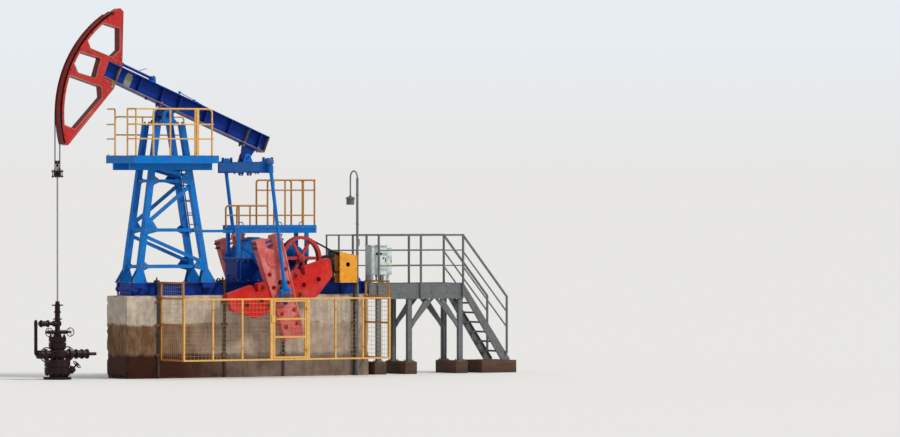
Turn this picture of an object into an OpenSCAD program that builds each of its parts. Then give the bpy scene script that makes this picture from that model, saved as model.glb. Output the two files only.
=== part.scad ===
// Beam pumping unit (pumpjack) on a tall concrete foundation, with its wellhead,
// guard fences, ladder tower, gearbox platform and service walkway.
// Millimetres. X runs along the machine towards the motor, Y points to the far
// side, Z is up, and the origin is the centre of the foundation's underside.

/* [Foundation] */
// Length of the concrete foundation
found_l = 6540; // [6000:10:7000]
// Width of the concrete foundation
found_w = 1060; // [1000:10:1100]
// Height of the foundation above the ground
found_h = 1950; // [1800:10:2100]
// Chamfer along its long top edges
found_chamfer = 30; // [10:5:60]
// Width of a hold-down bar
tie_bar_w = 60; // [40:5:80]
// Thickness of a hold-down bar
tie_bar_t = 25; // [15:1:30]
// Height of the clamps over the skid's edges
clamp_h = 60; // [40:5:80]

/* [Skid] */
// Length of the steel skid
skid_l = 6350; // [6200:10:6500]
// Offset of the skid's centre towards the motor
skid_shift = 145; // [100:5:200]
// Width over the two skid runners
skid_w = 740; // [700:10:780]
// Depth of the skid runners
skid_h = 300; // [250:5:350]
// Flange width of the skid runners
skid_flange_w = 150; // [120:5:170]
// Flange thickness of rolled beams
flange_t = 18; // [12:1:24]
// Web thickness of rolled beams
web_t = 12; // [8:1:16]

/* [Tower] */
// Beam pivot, distance behind the foundation's centre
pivot_back = 2020; // [1960:10:2080]
// Height of the tower legs above the skid
tower_h = 3690; // [3600:10:3800]
// Front leg foot, ahead of the pivot
leg_front_reach = 860; // [820:10:900]
// Rear leg foot, behind the pivot
leg_rear_reach = 970; // [930:10:1010]
// Leg tops, either side of the pivot
leg_top_reach = 325; // [300:5:350]
// Leg foot to the middle plane
leg_foot_y = 350; // [340:5:360]
// Leg top to the middle plane
leg_top_y = 300; // [290:2:310]
// Width of a leg
leg_w = 135; // [120:5:150]
// Width of the tower's ties and braces
brace_w = 75; // [60:5:90]
// Lowest tie above the skid
tie_low = 380; // [340:10:420]
// Middle tie above the skid
tie_mid = 1240; // [1180:10:1300]
// Upper tie above the skid
tie_high = 2400; // [2340:10:2460]
// Thickness of the tower's foot plates
foot_t = 22; // [16:1:30]
// Thickness of the tower's cap plate
cap_t = 40; // [30:1:50]
// Height of the beam pivot above the cap plate
pivot_rise = 220; // [200:5:240]
// Spacing of the ladder's rungs
rung_gap = 350; // [300:10:380]
// Diameter of the ladder's rungs
rung_d = 26; // [20:1:32]

/* [Tower platform] */
// Length of the platform
deck_l = 2250; // [2200:10:2300]
// Front edge of the platform, ahead of the pivot
deck_front = 1150; // [1120:10:1180]
// Width of the platform
deck_w = 1460; // [1400:10:1500]
// Height of the platform above the skid
deck_rise = 2995; // [2950:5:3040]
// Depth of the platform's edge channels
deck_edge_h = 180; // [150:5:200]
// Thickness of the deck plates
plate_t = 8; // [6:1:12]
// Height of the railing above the platform
rail_h = 1100; // [1000:10:1150]
// Width of the gap in the railing for the beam
rail_gap_w = 640; // [620:10:700]
// Diameter of railing tubes
rail_d = 44; // [34:1:50]

/* [Walking beam] */
// Tilt of the beam, head up
beam_tilt = 22.4; // [10:0.1:22.8]
// Beam's head end, from the pivot
beam_head_reach = 1500; // [1480:5:1520]
// Beam's tail end, from the pivot
beam_tail_reach = 2780; // [2740:10:2800]
// Underside of the beam above the pivot
beam_rise = 180; // [170:5:200]
// Depth of the walking beam
beam_h = 400; // [380:5:420]
// Flange width of the walking beam
beam_w = 270; // [240:5:280]
// Radius of the horse head's arc
head_r = 2790; // [2760:10:2820]
// Half angle of the arc
head_angle = 37.2; // [36:0.1:38]
// Width of the head's frame
head_w = 250; // [220:5:270]
// Width of the arc track
track_w = 350; // [320:5:370]
// Thickness of the arc track
track_t = 28; // [20:1:35]
// Radius of the pivot shaft
pivot_r = 60; // [50:1:65]

/* [Tail and pitmans] */
// Tail pin behind the pivot, along the beam
tail_reach = 2406; // [2380:2:2430]
// Tail pin below the pivot, square to the beam
tail_drop = 90; // [80:2:100]
// Radius of the tail pin
tail_pin_r = 45; // [38:1:50]
// Width of the equalizer beam
eq_w = 300; // [260:5:320]
// Depth of the equalizer beam
eq_h = 250; // [220:5:260]
// Top of the equalizer below the tail pin
eq_drop = 120; // [115:1:130]
// Middle of a pitman from the middle plane
pitman_y = 1120; // [1110:2:1140]
// Thickness of a pitman
pitman_d = 96; // [80:2:100]
// Pitman's top pin, ahead of the tail pin
pitman_top_dx = 60; // [50:2:70]
// Pitman's top pin, below the tail pin
pitman_top_dz = 120; // [110:2:130]

/* [Cranks] */
// Slow shaft, ahead of the foundation's centre
shaft_x = 390; // [370:5:410]
// Height of the gearbox shafts above the skid
shaft_rise = 560; // [540:5:580]
// Radius of the slow shaft
shaft_r = 110; // [100:1:115]
// Crank's angle from straight down
crank_angle = 17; // [0:1:17]
// Crank pin radius
crank_throw = 925; // [900:5:940]
// Inner face of a crank from the middle plane
crank_y = 825; // [815:5:840]
// Thickness of a crank
crank_t = 200; // [180:5:205]
// Crank's end beyond the shaft
crank_reach = 1980; // [1960:5:1985]
// Crank's end behind the shaft
crank_back = 540; // [520:5:560]
// Crank's half width at the shaft
crank_half = 350; // [340:2:360]
// Crank's half width at its end
crank_tip_half = 260; // [250:2:270]
// Thickness of a counterweight
weight_t = 180; // [160:5:190]
// Reach of a counterweight from the crank's middle
weight_reach = 1460; // [1420:5:1480]
// Radius of the holes in cranks and weights
weight_hole_r = 60; // [50:1:70]

/* [Drive] */
// Width of the gearbox case
gearbox_w = 580; // [560:5:600]
// Fast shaft, ahead of the slow shaft
fast_dx = 960; // [940:5:980]
// Radius of the gearbox cover at the slow shaft
cover_r = 490; // [470:5:500]
// Radius of the gearbox cover at the fast shaft
cover_fast_r = 300; // [280:5:320]
// Radius of the big pulley
pulley_r = 530; // [510:5:540]
// Width of the big pulley
pulley_w = 150; // [130:5:160]
// Middle of the belt drive from the middle plane
belt_y = 600; // [590:2:610]
// Thickness of the drive belt
belt_t = 22; // [18:1:26]
// Width of the drive belt
belt_w = 96; // [80:2:104]
// Motor shaft, ahead of the foundation's centre
motor_x = 2560; // [2540:5:2600]
// Height of the motor shaft above the skid
motor_rise = 405; // [390:5:420]
// Radius of the motor's frame
motor_r = 215; // [200:5:230]
// Radius of the motor pulley
motor_pulley_r = 146; // [135:1:155]
// Length of the belt guard
guard_l = 480; // [460:5:500]
// Height of the belt guard's tall side
guard_h = 740; // [720:5:760]
// Wall of sheet metal covers
sheet_t = 6; // [4:1:8]

/* [Gearbox platform] */
// Height of the gearbox platform above the skid
gp_rise = 1280; // [1240:5:1320]
// Length of the gearbox platform
gp_l = 2220; // [2160:10:2280]
// Width of the gearbox platform
gp_w = 600; // [580:5:620]
// Depth of its edge channels
gp_edge_h = 120; // [100:5:140]

/* [Guard fences] */
// Fence plane from the middle plane
fence_y = 1700; // [1660:10:1760]
// Left end of the fences
fence_left = -2390; // [-2440:10:-2340]
// Right end of the fences
fence_right = 3180; // [3120:10:3240]
// Underside of the fences above the ground
fence_foot = 420; // [380:5:460]
// Height of the front fences
fence_h = 1470; // [1440:5:1500]
// Height of the end panels
fence_end_h = 1860; // [1820:5:1900]
// Size of the fences' square tubes
fence_tube = 40; // [35:1:45]
// Left side of the gate bay
gate_left = 0; // [-20:5:20]
// Width of the gate bay
gate_bay = 900; // [880:5:920]

/* [Walkway and stair] */
// Height of the walkway deck above the ground
walk_h = 2180; // [2120:10:2230]
// Length of the walkway
walk_l = 2630; // [2560:10:2700]
// Width of the walkway
walk_w = 880; // [840:10:920]
// Depth of the walkway's side channels
walk_edge_h = 370; // [340:5:390]
// Height of the walkway's railing
walk_rail_h = 1190; // [1140:10:1220]
// Going of a stair tread
tread_go = 180; // [165:1:190]
// Number of stair treads
tread_n = 7; // [7:1:7]
// Height of the concrete footings
footing_h = 300; // [260:5:340]

/* [Wellhead] */
// Radius of the well's base flange
well_r = 330; // [300:5:350]
// Height of the stuffing box's top above the ground
stuffing_top = 1830; // [1800:10:1860]
// Radius of the polished rod
rod_r = 19; // [16:1:22]
// Height of the carrier bar above the ground
carrier_z = 4740; // [4700:10:4800]
// Distance between the bridle ropes
bridle_w = 250; // [230:5:270]
// Radius of a bridle rope
rope_r = 13; // [10:1:16]

/* [Hidden] */
$fn = 48;

// Clearances: flat seats are face to face, round fits have a film
fit = 0.05;
seat = 0.3;
run = 10;
belt_gap = 0.8;
far = 100000;

skid_top = found_h + skid_h;
skid_x0 = skid_shift - skid_l / 2;
skid_x1 = skid_shift + skid_l / 2;
pivot_x = -pivot_back;
cap_z = skid_top + foot_t + tower_h;
pivot_z = cap_z + cap_t + pivot_rise;
deck_z = skid_top + deck_rise;
deck_x0 = pivot_x - deck_front;
shaft_z = skid_top + shaft_rise;
fast_x = shaft_x + fast_dx;
motor_z = skid_top + motor_rise;
tail_x = pivot_x + tail_reach * cos(beam_tilt) - tail_drop * sin(beam_tilt);
tail_z = pivot_z - tail_reach * sin(beam_tilt) - tail_drop * cos(beam_tilt);
eq_top = tail_z - eq_drop;
pin_x = shaft_x + crank_throw * sin(crank_angle);
pin_z = shaft_z - crank_throw * cos(crank_angle);
well_x = pivot_x - head_r - rope_r - seat;
gp_z = skid_top + gp_rise;
gp_x0 = shaft_x - 660;
walk_x0 = skid_x1;
walk_x1 = walk_x0 + walk_l;

function mix(a, b, t) = a + (b - a) * t;
function leg_x(front, z) =
    let (t = (z - skid_top) / (cap_z - skid_top))
    front ? pivot_x - mix(leg_front_reach, leg_top_reach, t)
          : pivot_x + mix(leg_rear_reach, leg_top_reach, t);
function leg_y(z) = mix(leg_foot_y, leg_top_y, (z - skid_top) / (cap_z - skid_top));
function leg_point(front, z, side = 1) = [leg_x(front, z), side * leg_y(z), z];

// Box between two corners
module block(a, b) {
    translate([min(a.x, b.x), min(a.y, b.y), min(a.z, b.z)])
        cube([abs(b.x - a.x), abs(b.y - a.y), abs(b.z - a.z)]);
}

// Extrudes a flat section from point a to point b, keeping its roll
module strut(a, b) {
    v = b - a;
    turn = atan2(v.y, v.x);
    translate(a)
        rotate([0, acos(v.z / norm(v)), turn])
            rotate([0, 0, -turn])
                linear_extrude(norm(v)) children();
}

// Square bar and round bar with few sides
module square_bar(a, b, w) {
    strut(a, b) square(w, center = true);
}

module tube_bar(a, b, d) {
    strut(a, b) circle(d = d, $fn = 8);
}

// Cylinder along Y from y0 to y1
module y_cylinder(x, z, r, y0, y1) {
    translate([x, max(y0, y1), z])
        rotate([90, 0, 0]) cylinder(r = r, h = abs(y1 - y0));
}

module x_cylinder(y, z, r, x0, x1) {
    translate([min(x0, x1), y, z])
        rotate([0, 90, 0]) cylinder(r = r, h = abs(x1 - x0));
}

module z_cylinder(x, y, r, z0, z1) {
    translate([x, y, z0]) cylinder(r = r, h = z1 - z0);
}

// Flat profile in the X-Z plane, given thickness from y0 to y1
module xz_plate(y0, y1) {
    translate([0, max(y0, y1), 0])
        rotate([90, 0, 0]) linear_extrude(abs(y1 - y0)) children();
}

module i_profile(w, h, tf, tw) {
    translate([-w / 2, 0]) square([w, tf]);
    translate([-w / 2, h - tf]) square([w, tf]);
    translate([-tw / 2, 0]) square([tw, h]);
}

module mirror_y() {
    children();
    mirror([0, 1, 0]) children();
}

// Foundation
module foundation() {
    color("tan")
        translate([-found_l / 2, 0, 0])
            rotate([90, 0, 90])
                linear_extrude(found_l)
                    polygon([
                        [-found_w / 2, 0], [found_w / 2, 0],
                        [found_w / 2, found_h - found_chamfer],
                        [found_w / 2 - found_chamfer, found_h],
                        [found_chamfer - found_w / 2, found_h],
                        [-found_w / 2, found_h - found_chamfer]
                    ]);
}

// Hold-down bars up both long faces, each with a clamp over the skid's edge
tie_xs = [-2440, -680, 910, 2850];
clamp_y = gearbox_w / 2 + 65;

module hold_down_bars() {
    y0 = found_w / 2;
    y1 = y0 + tie_bar_t;
    half = tie_bar_w / 2;
    color("dimgray")
        mirror_y()
            for (x = tie_xs) {
                block([x - half, y0, 0], [x + half, y1, skid_top + clamp_h]);
                block([x - half, clamp_y, skid_top], [x + half, y1, skid_top + clamp_h]);
                z_cylinder(x, (clamp_y + y1) / 2, 20, skid_top + clamp_h - 1, skid_top + clamp_h + 40);
            }
}

// Skid of two rolled runners with cross beams and web stiffeners
skid_cross_xs = [-2880, -1050, 60, 1500, 2350, 3180];

module skid_runner() {
    translate([skid_x0, skid_w / 2 - skid_flange_w / 2, found_h])
        rotate([90, 0, 90])
            linear_extrude(skid_l) i_profile(skid_flange_w, skid_h, flange_t, web_t);
}

module base_skid() {
    inner = skid_w / 2 - skid_flange_w / 2;
    color("navy") {
        mirror_y() {
            skid_runner();
            for (x = [skid_x0 + 40:620:skid_x1]) {
                block([x, inner - skid_flange_w / 2 + 8, found_h + flange_t / 2],
                      [x + 14, inner + skid_flange_w / 2 - 8, skid_top - flange_t / 2]);
            }
        }
        for (x = skid_cross_xs) {
            block([x - 60, -inner, found_h + 60], [x + 60, inner, skid_top - 60]);
        }
        for (front = [true, false]) {
            x = leg_x(front, skid_top);
            mirror_y()
                block([x - 160, skid_w / 2 - 5, skid_top - 120], [x + 160, leg_foot_y + 100, skid_top]);
        }
        block([skid_x1 - 16, -inner, found_h], [skid_x1, inner, skid_top]);
        block([skid_x0, -inner, found_h], [skid_x0 + 16, inner, skid_top]);
    }
}

// Tower
module leg_solid(front, side, w) {
    z0 = skid_top + foot_t;
    intersection() {
        square_bar(leg_point(front, z0 - 300, side), leg_point(front, cap_z + 300, side), w);
        block([-far, -far, z0], [far, far, cap_z]);
    }
}

module leg_solids(w) {
    for (front = [true, false]) {
        for (side = [-1, 1]) {
            leg_solid(front, side, w);
        }
    }
}

// Flared foot: a plate on the skid and two gussets along the machine
module leg_foot(front, side) {
    x = leg_x(front, skid_top + foot_t);
    y = side * leg_y(skid_top + foot_t);
    z0 = skid_top + foot_t;
    block([x - 210, y - 100, skid_top], [x + 210, y + 100, z0]);
    for (dy = [-1, 1]) {
        inner = y + dy * leg_w / 2;
        xz_plate(inner - 7 * (1 + dy), inner + 7 * (1 - dy))
            polygon([
                [x - 190, z0], [x + 190, z0], [x + 190, z0 + 30],
                [leg_x(front, z0 + 300) + leg_w / 2, z0 + 300],
                [leg_x(front, z0 + 300) - leg_w / 2, z0 + 300],
                [x - 190, z0 + 30]
            ]);
    }
}

module tower_side(side) {
    ties = [tie_low, tie_mid, tie_high];
    low = skid_top + tie_low;
    mid = skid_top + tie_mid;
    high = skid_top + tie_high;
    color("dodgerblue") {
        for (front = [true, false]) {
            leg_solid(front, side, leg_w);
            leg_foot(front, side);
        }
        for (rise = ties) {
            z = skid_top + rise;
            square_bar(leg_point(true, z, side), leg_point(false, z, side), brace_w);
        }
        square_bar(leg_point(true, deck_z - deck_edge_h - 60, side), leg_point(false, high + 90, side), brace_w);
        square_bar(leg_point(false, high - 90, side), leg_point(true, mid + 130, side), brace_w);
        square_bar(leg_point(true, mid - 130, side), leg_point(false, low + 90, side), brace_w);
    }
}

module tower_cross_ties() {
    ties = [tie_low, tie_mid, tie_high];
    color("dodgerblue")
        difference() {
            for (front = [true, false]) {
                for (rise = ties) {
                    z = skid_top + rise;
                    square_bar(leg_point(front, z, -1), leg_point(front, z, 1), brace_w);
                }
            }
            leg_solids(leg_w + 2 * fit);
        }
}

module tower_cap() {
    reach = leg_top_reach + leg_w / 2 + 20;
    half = leg_top_y + leg_w / 2 + 20;
    color("dodgerblue") {
        block([pivot_x - reach, -half, cap_z], [pivot_x + reach, half, cap_z + cap_t]);
        mirror_y() pillow_block();
    }
}

// Bearing block of the beam's pivot shaft
module pillow_block() {
    difference() {
        union() {
            block([pivot_x - 230, 170, cap_z + cap_t], [pivot_x + 230, 290, cap_z + cap_t + 40]);
            xz_plate(180, 280)
                polygon([
                    [pivot_x - 180, cap_z + cap_t], [pivot_x + 180, cap_z + cap_t],
                    [pivot_x + pivot_r * 2, pivot_z], [pivot_x - pivot_r * 2, pivot_z]
                ]);
            y_cylinder(pivot_x, pivot_z, pivot_r * 2, 180, 280);
        }
        y_cylinder(pivot_x, pivot_z, pivot_r + fit, 100, 400);
    }
}

// Ladder up the rear legs: rungs from the middle tie to the deck
module tower_ladder() {
    z0 = skid_top + tie_mid;
    count = floor((deck_z - deck_edge_h - 40 - z0) / rung_gap);
    color("dodgerblue")
        difference() {
            for (i = [1:count]) {
                z = z0 + i * rung_gap;
                tube_bar(leg_point(false, z, -1), leg_point(false, z, 1), rung_d);
            }
            leg_solids(leg_w + 2 * fit);
        }
}

// Tower platform: deck between edge channels on two carrying beams
carry_y = leg_y(skid_top + deck_rise - 360) + leg_w / 2 + 2;

module tower_platform() {
    under = deck_z - deck_edge_h;
    color("royalblue")
        difference() {
            union() {
                block([deck_x0, -deck_w / 2, deck_z - plate_t],
                      [deck_x0 + deck_l, deck_w / 2, deck_z]);
                mirror_y() {
                    block([deck_x0, deck_w / 2 - plate_t, under],
                          [deck_x0 + deck_l, deck_w / 2, deck_z]);
                    block([deck_x0 + 30, carry_y, under - 160],
                          [deck_x0 + deck_l - 30, carry_y + 60, under]);
                }
                for (x = [deck_x0, pivot_x - 640, pivot_x + 600, deck_x0 + deck_l - plate_t]) {
                    block([x, -deck_w / 2, under], [x + plate_t, deck_w / 2, deck_z]);
                }
            }
            leg_solids(leg_w + 2 * seat);
        }
}

// Railing with a gap at each end where the beam and its head pass
near_post_xs = [50, 510, 960, 1620, 2070];

module tower_railing() {
    y = deck_w / 2 - rail_d / 2;
    x0 = deck_x0 + rail_d / 2;
    x1 = deck_x0 + near_post_xs[4];
    levels = [0.36, 0.67, 1];
    far_levels = [0.45, 0.84];
    color("gold") {
        for (dx = near_post_xs) {
            z_post(deck_x0 + dx, -y, deck_z, deck_z + rail_h);
        }
        block([deck_x0 + near_post_xs[3] + 30, -y - 22, deck_z],
              [deck_x0 + near_post_xs[3] + 100, -y + 22, deck_z + rail_h]);
        for (share = levels) {
            z = deck_z + rail_h * share;
            tube_bar([x0, -y, z], [x1 + 40, -y, z], rail_d);
            tube_bar([x0 + 5, -y, z], [x0 + 5, -rail_gap_w / 2, z], rail_d);
            tube_bar([x0 + 5, rail_gap_w / 2, z], [x0 + 5, y + 40, z], rail_d);
        }
        z_post(x0 + 5, -rail_gap_w / 2, deck_z, deck_z + rail_h);
        z_post(x0 + 5, rail_gap_w / 2, deck_z, deck_z + rail_h);
        for (dx = [50, 960, 2070]) {
            z_post(deck_x0 + dx, y, deck_z, deck_z + rail_h * 0.84);
        }
        for (share = far_levels) {
            z = deck_z + rail_h * share;
            tube_bar([x0, y, z], [x1 + 40, y, z], rail_d * 0.8);
        }
    }
}

module z_post(x, y, z0, z1) {
    tube_bar([x, y, z0], [x, y, z1], rail_d);
}

// Gearbox: case below the shafts, cover above them
gearbox_x0 = shaft_x - 600;
gearbox_x1 = fast_x + 350;

module gearbox_bores(extra) {
    y_cylinder(shaft_x, shaft_z, shaft_r + extra, -far, far);
}

module gearbox_case() {
    half = gearbox_w / 2;
    color("navy")
        difference() {
            union() {
                block([gearbox_x0, -half, skid_top + 30], [gearbox_x1, half, shaft_z]);
                block([gearbox_x0 - 60, -half - 60, skid_top],
                      [gearbox_x1 + 60, half + 60, skid_top + 30]);
                block([gearbox_x0 - 50, -half - 50, shaft_z - 35],
                      [gearbox_x1 + 50, half + 50, shaft_z]);
                for (x = [shaft_x, fast_x]) {
                    gearbox_boss(x, shaft_z - far, shaft_z);
                }
            }
            gearbox_bores(fit);
            y_cylinder(fast_x, shaft_z, 50 + fit, -half - 100, -half + 120);
        }
}

// Half of the round bearing housing on both sides of the box
module gearbox_boss(x, z0, z1) {
    r = x == shaft_x ? shaft_r + 90 : 120;
    intersection() {
        y_cylinder(x, shaft_z, r, -gearbox_w / 2 - 70, gearbox_w / 2 + 70);
        block([x - r - 1, -far, z0], [x + r + 1, far, z1]);
    }
}

module gearbox_cover() {
    half = gearbox_w / 2;
    color("mediumblue")
        difference() {
            union() {
                intersection() {
                    xz_plate(-half, half) cover_profile();
                    block([gearbox_x0, -half, shaft_z], [gearbox_x1, half, shaft_z + far]);
                }
                block([gearbox_x0 - 50, -half - 50, shaft_z],
                      [gearbox_x1 + 50, half + 50, shaft_z + 35]);
                for (x = [shaft_x, fast_x]) {
                    gearbox_boss(x, shaft_z, shaft_z + far);
                }
                for (a = [0:30:150]) {
                    cover_rib(a);
                }
            }
            gearbox_bores(fit);
            y_cylinder(fast_x, shaft_z, 50 + fit, -half - 100, -half + 120);
        }
}

module cover_profile() {
    translate([shaft_x, shaft_z]) circle(r = cover_r);
    translate([fast_x, shaft_z]) circle(r = cover_fast_r);
    polygon([
        [shaft_x, shaft_z], [fast_x, shaft_z],
        [fast_x + cover_fast_r * sin(11.4), shaft_z + cover_fast_r * cos(11.4)],
        [shaft_x + cover_r * sin(11.4), shaft_z + cover_r * cos(11.4)]
    ]);
}

module cover_rib(a) {
    intersection() {
        translate([shaft_x, 0, shaft_z])
            rotate([0, -a, 0])
                block([0, -gearbox_w / 2 - 14, -8], [cover_r + 14, gearbox_w / 2 + 14, 8]);
        block([gearbox_x0, -far, shaft_z], [gearbox_x1, far, shaft_z + far]);
    }
}

// Big pulley: grooved rim, six spokes, hub and its shaft
module big_pulley() {
    y0 = -belt_y - pulley_w / 2;
    y1 = -belt_y + pulley_w / 2;
    groove_r = pulley_r - belt_t;
    color("crimson")
        union() {
            difference() {
                y_cylinder(fast_x, shaft_z, pulley_r, y0, y1);
                y_cylinder(fast_x, shaft_z, pulley_r - 75, y0 - 1, y1 + 1);
                difference() {
                    y_cylinder(fast_x, shaft_z, far / 50, -belt_y - belt_w / 2 - 5,
                               -belt_y + belt_w / 2 + 5);
                    y_cylinder(fast_x, shaft_z, groove_r, -belt_y - belt_w, -belt_y + belt_w);
                }
            }
            y_cylinder(fast_x, shaft_z, 95, y0 - 10, y1 + 10);
            y_cylinder(fast_x, shaft_z, 50, y0 - 30, -gearbox_w / 2 + 110);
            for (a = [0:60:300]) {
                translate([fast_x, 0, shaft_z])
                    rotate([0, -a, 0])
                        block([60, -belt_y - 30, -34], [pulley_r - 70, -belt_y + 30, 34]);
            }
        }
}

// One closed belt over the big pulley and the motor pulley
module belt_outline(grow) {
    big = pulley_r - belt_t + belt_gap + grow;
    small = motor_pulley_r - belt_t + belt_gap + grow;
    dx = motor_x - fast_x;
    dz = motor_z - shaft_z;
    reach = norm([dx, dz]);
    slope = atan2(dz, dx);
    lean = acos((big - small) / reach);
    translate([fast_x, shaft_z]) circle(r = big, $fn = 96);
    translate([motor_x, motor_z]) circle(r = small, $fn = 96);
    polygon([
        [fast_x + big * cos(slope + lean), shaft_z + big * sin(slope + lean)],
        [motor_x + small * cos(slope + lean), motor_z + small * sin(slope + lean)],
        [motor_x + small * cos(slope - lean), motor_z + small * sin(slope - lean)],
        [fast_x + big * cos(slope - lean), shaft_z + big * sin(slope - lean)]
    ]);
}

module drive_belt() {
    color("black")
        xz_plate(-belt_y - belt_w / 2, -belt_y + belt_w / 2)
            difference() {
                belt_outline(belt_t);
                belt_outline(0);
            }
}

// Motor on its sliding base, with its pulley
motor_base_h = 90;
guard_back_y = -belt_y + 90;

module motor() {
    y0 = -160;
    y1 = 440;
    base_z = skid_top + motor_base_h;
    groove = motor_pulley_r - belt_t;
    color("gray") {
        y_cylinder(motor_x, motor_z, motor_r, y0, y1);
        y_cylinder(motor_x, motor_z, motor_r - 40, y0 - 60, y1 + 70);
        block([motor_x - 180, y0 + 40, base_z], [motor_x + 180, y1 - 40, motor_z - motor_r / 2]);
        for (a = [20:20:160]) {
            translate([motor_x, 0, motor_z])
                rotate([0, -a, 0])
                    block([motor_r - 10, y0 + 30, -5], [motor_r + 22, y1 - 30, 5]);
        }
        block([motor_x - 90, y0 + 90, motor_z + motor_r - 20],
              [motor_x + 90, y0 + 260, motor_z + motor_r + 90]);
        for (dx = [-150, 150]) {
            block([motor_x + dx - 40, guard_back_y, skid_top],
                  [motor_x + dx + 40, y1 + 60, base_z]);
        }
        y_cylinder(motor_x, motor_z, 30, -belt_y - 60, y0);
        y_cylinder(motor_x, motor_z, groove, -belt_y - 60, -belt_y + 60);
        for (dy = [-60, belt_w / 2 + 2]) {
            y_cylinder(motor_x, motor_z, motor_pulley_r, -belt_y + dy, -belt_y + dy + 10);
        }
    }
}

// Sheet guard round the motor pulley, open towards the big pulley
module belt_guard() {
    x0 = motor_x - guard_l * 0.47;
    x1 = x0 + guard_l;
    y0 = -belt_y - 150;
    z0 = skid_top - 30;
    z1 = z0 + guard_h;
    z2 = z1 - 100;
    color("orange")
        difference() {
            xz_plate(y0, guard_back_y) polygon([[x0, z0], [x1, z0], [x1, z2], [x0, z1]]);
            xz_plate(y0 + sheet_t, guard_back_y - sheet_t)
                polygon([[x0 - 1, z0 + sheet_t], [x1 - sheet_t, z0 + sheet_t],
                         [x1 - sheet_t, z2 - sheet_t], [x0 - 1, z1 - sheet_t]]);
            y_cylinder(motor_x, motor_z, 55, y0 - 1, guard_back_y + 1);
        }
}

// Gearbox platform on four posts
gp_post_dxs = [120, 1970];

module gearbox_platform() {
    x0 = gp_x0;
    x1 = gp_x0 + gp_l;
    half = gp_w / 2;
    color("dodgerblue") {
        block([x0, -half, gp_z - plate_t], [x1, half, gp_z]);
        mirror_y() {
            block([x0, half - plate_t, gp_z - gp_edge_h], [x1, half, gp_z]);
            for (dx = gp_post_dxs) {
                block([x0 + dx - 40, half - 80, shaft_z + 35], [x0 + dx + 40, half, gp_z - 1]);
            }
        }
        for (x = [x0, x0 + 740, x0 + 1480, x1 - plate_t]) {
            block([x, -half, gp_z - gp_edge_h], [x + plate_t, half, gp_z]);
        }
        catwalk();
    }
}

// Narrow step between the tower's middle tie and the platform
module catwalk() {
    tie_z = skid_top + tie_mid;
    y1 = leg_y(tie_z) - leg_w / 2 - 6;
    mirror_y()
        block([leg_x(false, tie_z) + brace_w / 2, y1 - 55, gp_z - 100], [gp_x0 + 1, y1, gp_z - 40]);
}

module gearbox_railing() {
    half = gp_w / 2 - rail_d / 2;
    low = 530;
    high = 1140;
    xa = gp_x0 + rail_d / 2;
    xb = gp_x0 + 820;
    xc = gp_x0 + gp_l - rail_d;
    color("goldenrod")
        mirror_y() {
            for (x = [xa, gp_x0 + 420]) {
                z_post(x, half, gp_z, gp_z + low);
            }
            for (x = [xb, (xb + xc) / 2, xc]) {
                z_post(x, half, gp_z, gp_z + high);
            }
            tube_bar([xa, half, gp_z + low], [xb, half, gp_z + low], rail_d);
            tube_bar([xb, half, gp_z + high], [xc, half, gp_z + high], rail_d);
            tube_bar([xb, half, gp_z + high / 2], [xc, half, gp_z + high / 2], rail_d);
            tube_bar([xc, 0, gp_z + high], [xc, half, gp_z + high], rail_d);
            tube_bar([xc, 0, gp_z + high / 2], [xc, half, gp_z + high / 2], rail_d);
        }
}

// Switch boxes on a small stand at the walkway's near edge
module control_cabinets() {
    x0 = walk_x0 + 90;
    y0 = -walk_w / 2 + 60;
    z0 = walk_h + 210;
    color("lightsteelblue") {
        block([x0, y0, z0], [x0 + 430, y0 + 260, z0 + 700]);
        block([x0 + 450, y0 + 60, z0], [x0 + 600, y0 + 260, z0 + 640]);
        for (dx = [60, 330]) {
            block([x0 + dx, y0 + 100, walk_h], [x0 + dx + 50, y0 + 150, z0]);
        }
        block([x0 + 500, y0 + 100, walk_h], [x0 + 550, y0 + 150, z0]);
        block([x0 + 430, y0 + 100, z0 + 100], [x0 + 450, y0 + 200, z0 + 200]);
    }
}

// Lamp post beside the skid, held to the foundation by two straps
lamp_x = 2880;
lamp_y = -640;
lamp_r = 30;

module lamp_post() {
    top = 4720;
    hook = 170;
    color("gray") {
        z_cylinder(lamp_x, lamp_y, lamp_r, 0, top);
        translate([lamp_x, lamp_y + hook, top])
            rotate([90, 0, 90])
                rotate_extrude(angle = 180) translate([hook, 0]) circle(r = 18);
        z_cylinder(lamp_x, lamp_y + 2 * hook, 18, top - 450, top);
        z_cylinder(lamp_x, lamp_y + 2 * hook, 95, top - 640, top - 450);
        for (z = [600, 1500]) {
            block([lamp_x - 20, lamp_y, z], [lamp_x + 20, -found_w / 2 - tie_bar_t, z + 50]);
        }
    }
}

// Guard fences: square tube frames
fence_y_in = found_w / 2;

module fence_bars(x0, x1, posts, y, z0, z1) {
    for (z = [z0, z1 - fence_tube]) {
        block([x0, y - fence_tube / 2, z], [x1, y + fence_tube / 2, z + fence_tube]);
    }
    for (x = posts) {
        block([x - fence_tube / 2, y - fence_tube / 2, z0], [x + fence_tube / 2, y + fence_tube / 2, z1]);
    }
}

fence_z1 = fence_foot + fence_h;
gate_right = gate_left + gate_bay;

module fence_near_left() {
    x1 = gate_left - fence_tube;
    bay = (x1 - fence_left) / 3;
    half = fence_tube / 2;
    color("gold")
        fence_bars(fence_left, x1, [fence_left + half, fence_left + bay, fence_left + 2 * bay, x1 - half],
                   -fence_y, fence_foot, fence_z1);
}

module fence_near_right() {
    x0 = gate_right + fence_tube;
    bay = (fence_right - x0) / 3;
    half = fence_tube / 2;
    color("gold")
        fence_bars(x0, fence_right, [x0 + half, x0 + bay, x0 + 2 * bay, fence_right - half],
                   -fence_y, fence_foot, fence_z1);
}

// Frame round the gate, with the two hinge lugs
hinge_x = gate_right - run / 2;
hinge_y = -fence_y - fence_tube / 2 - 18;
hinge_zs = [fence_foot + 250, fence_z1 - 250];

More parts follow.
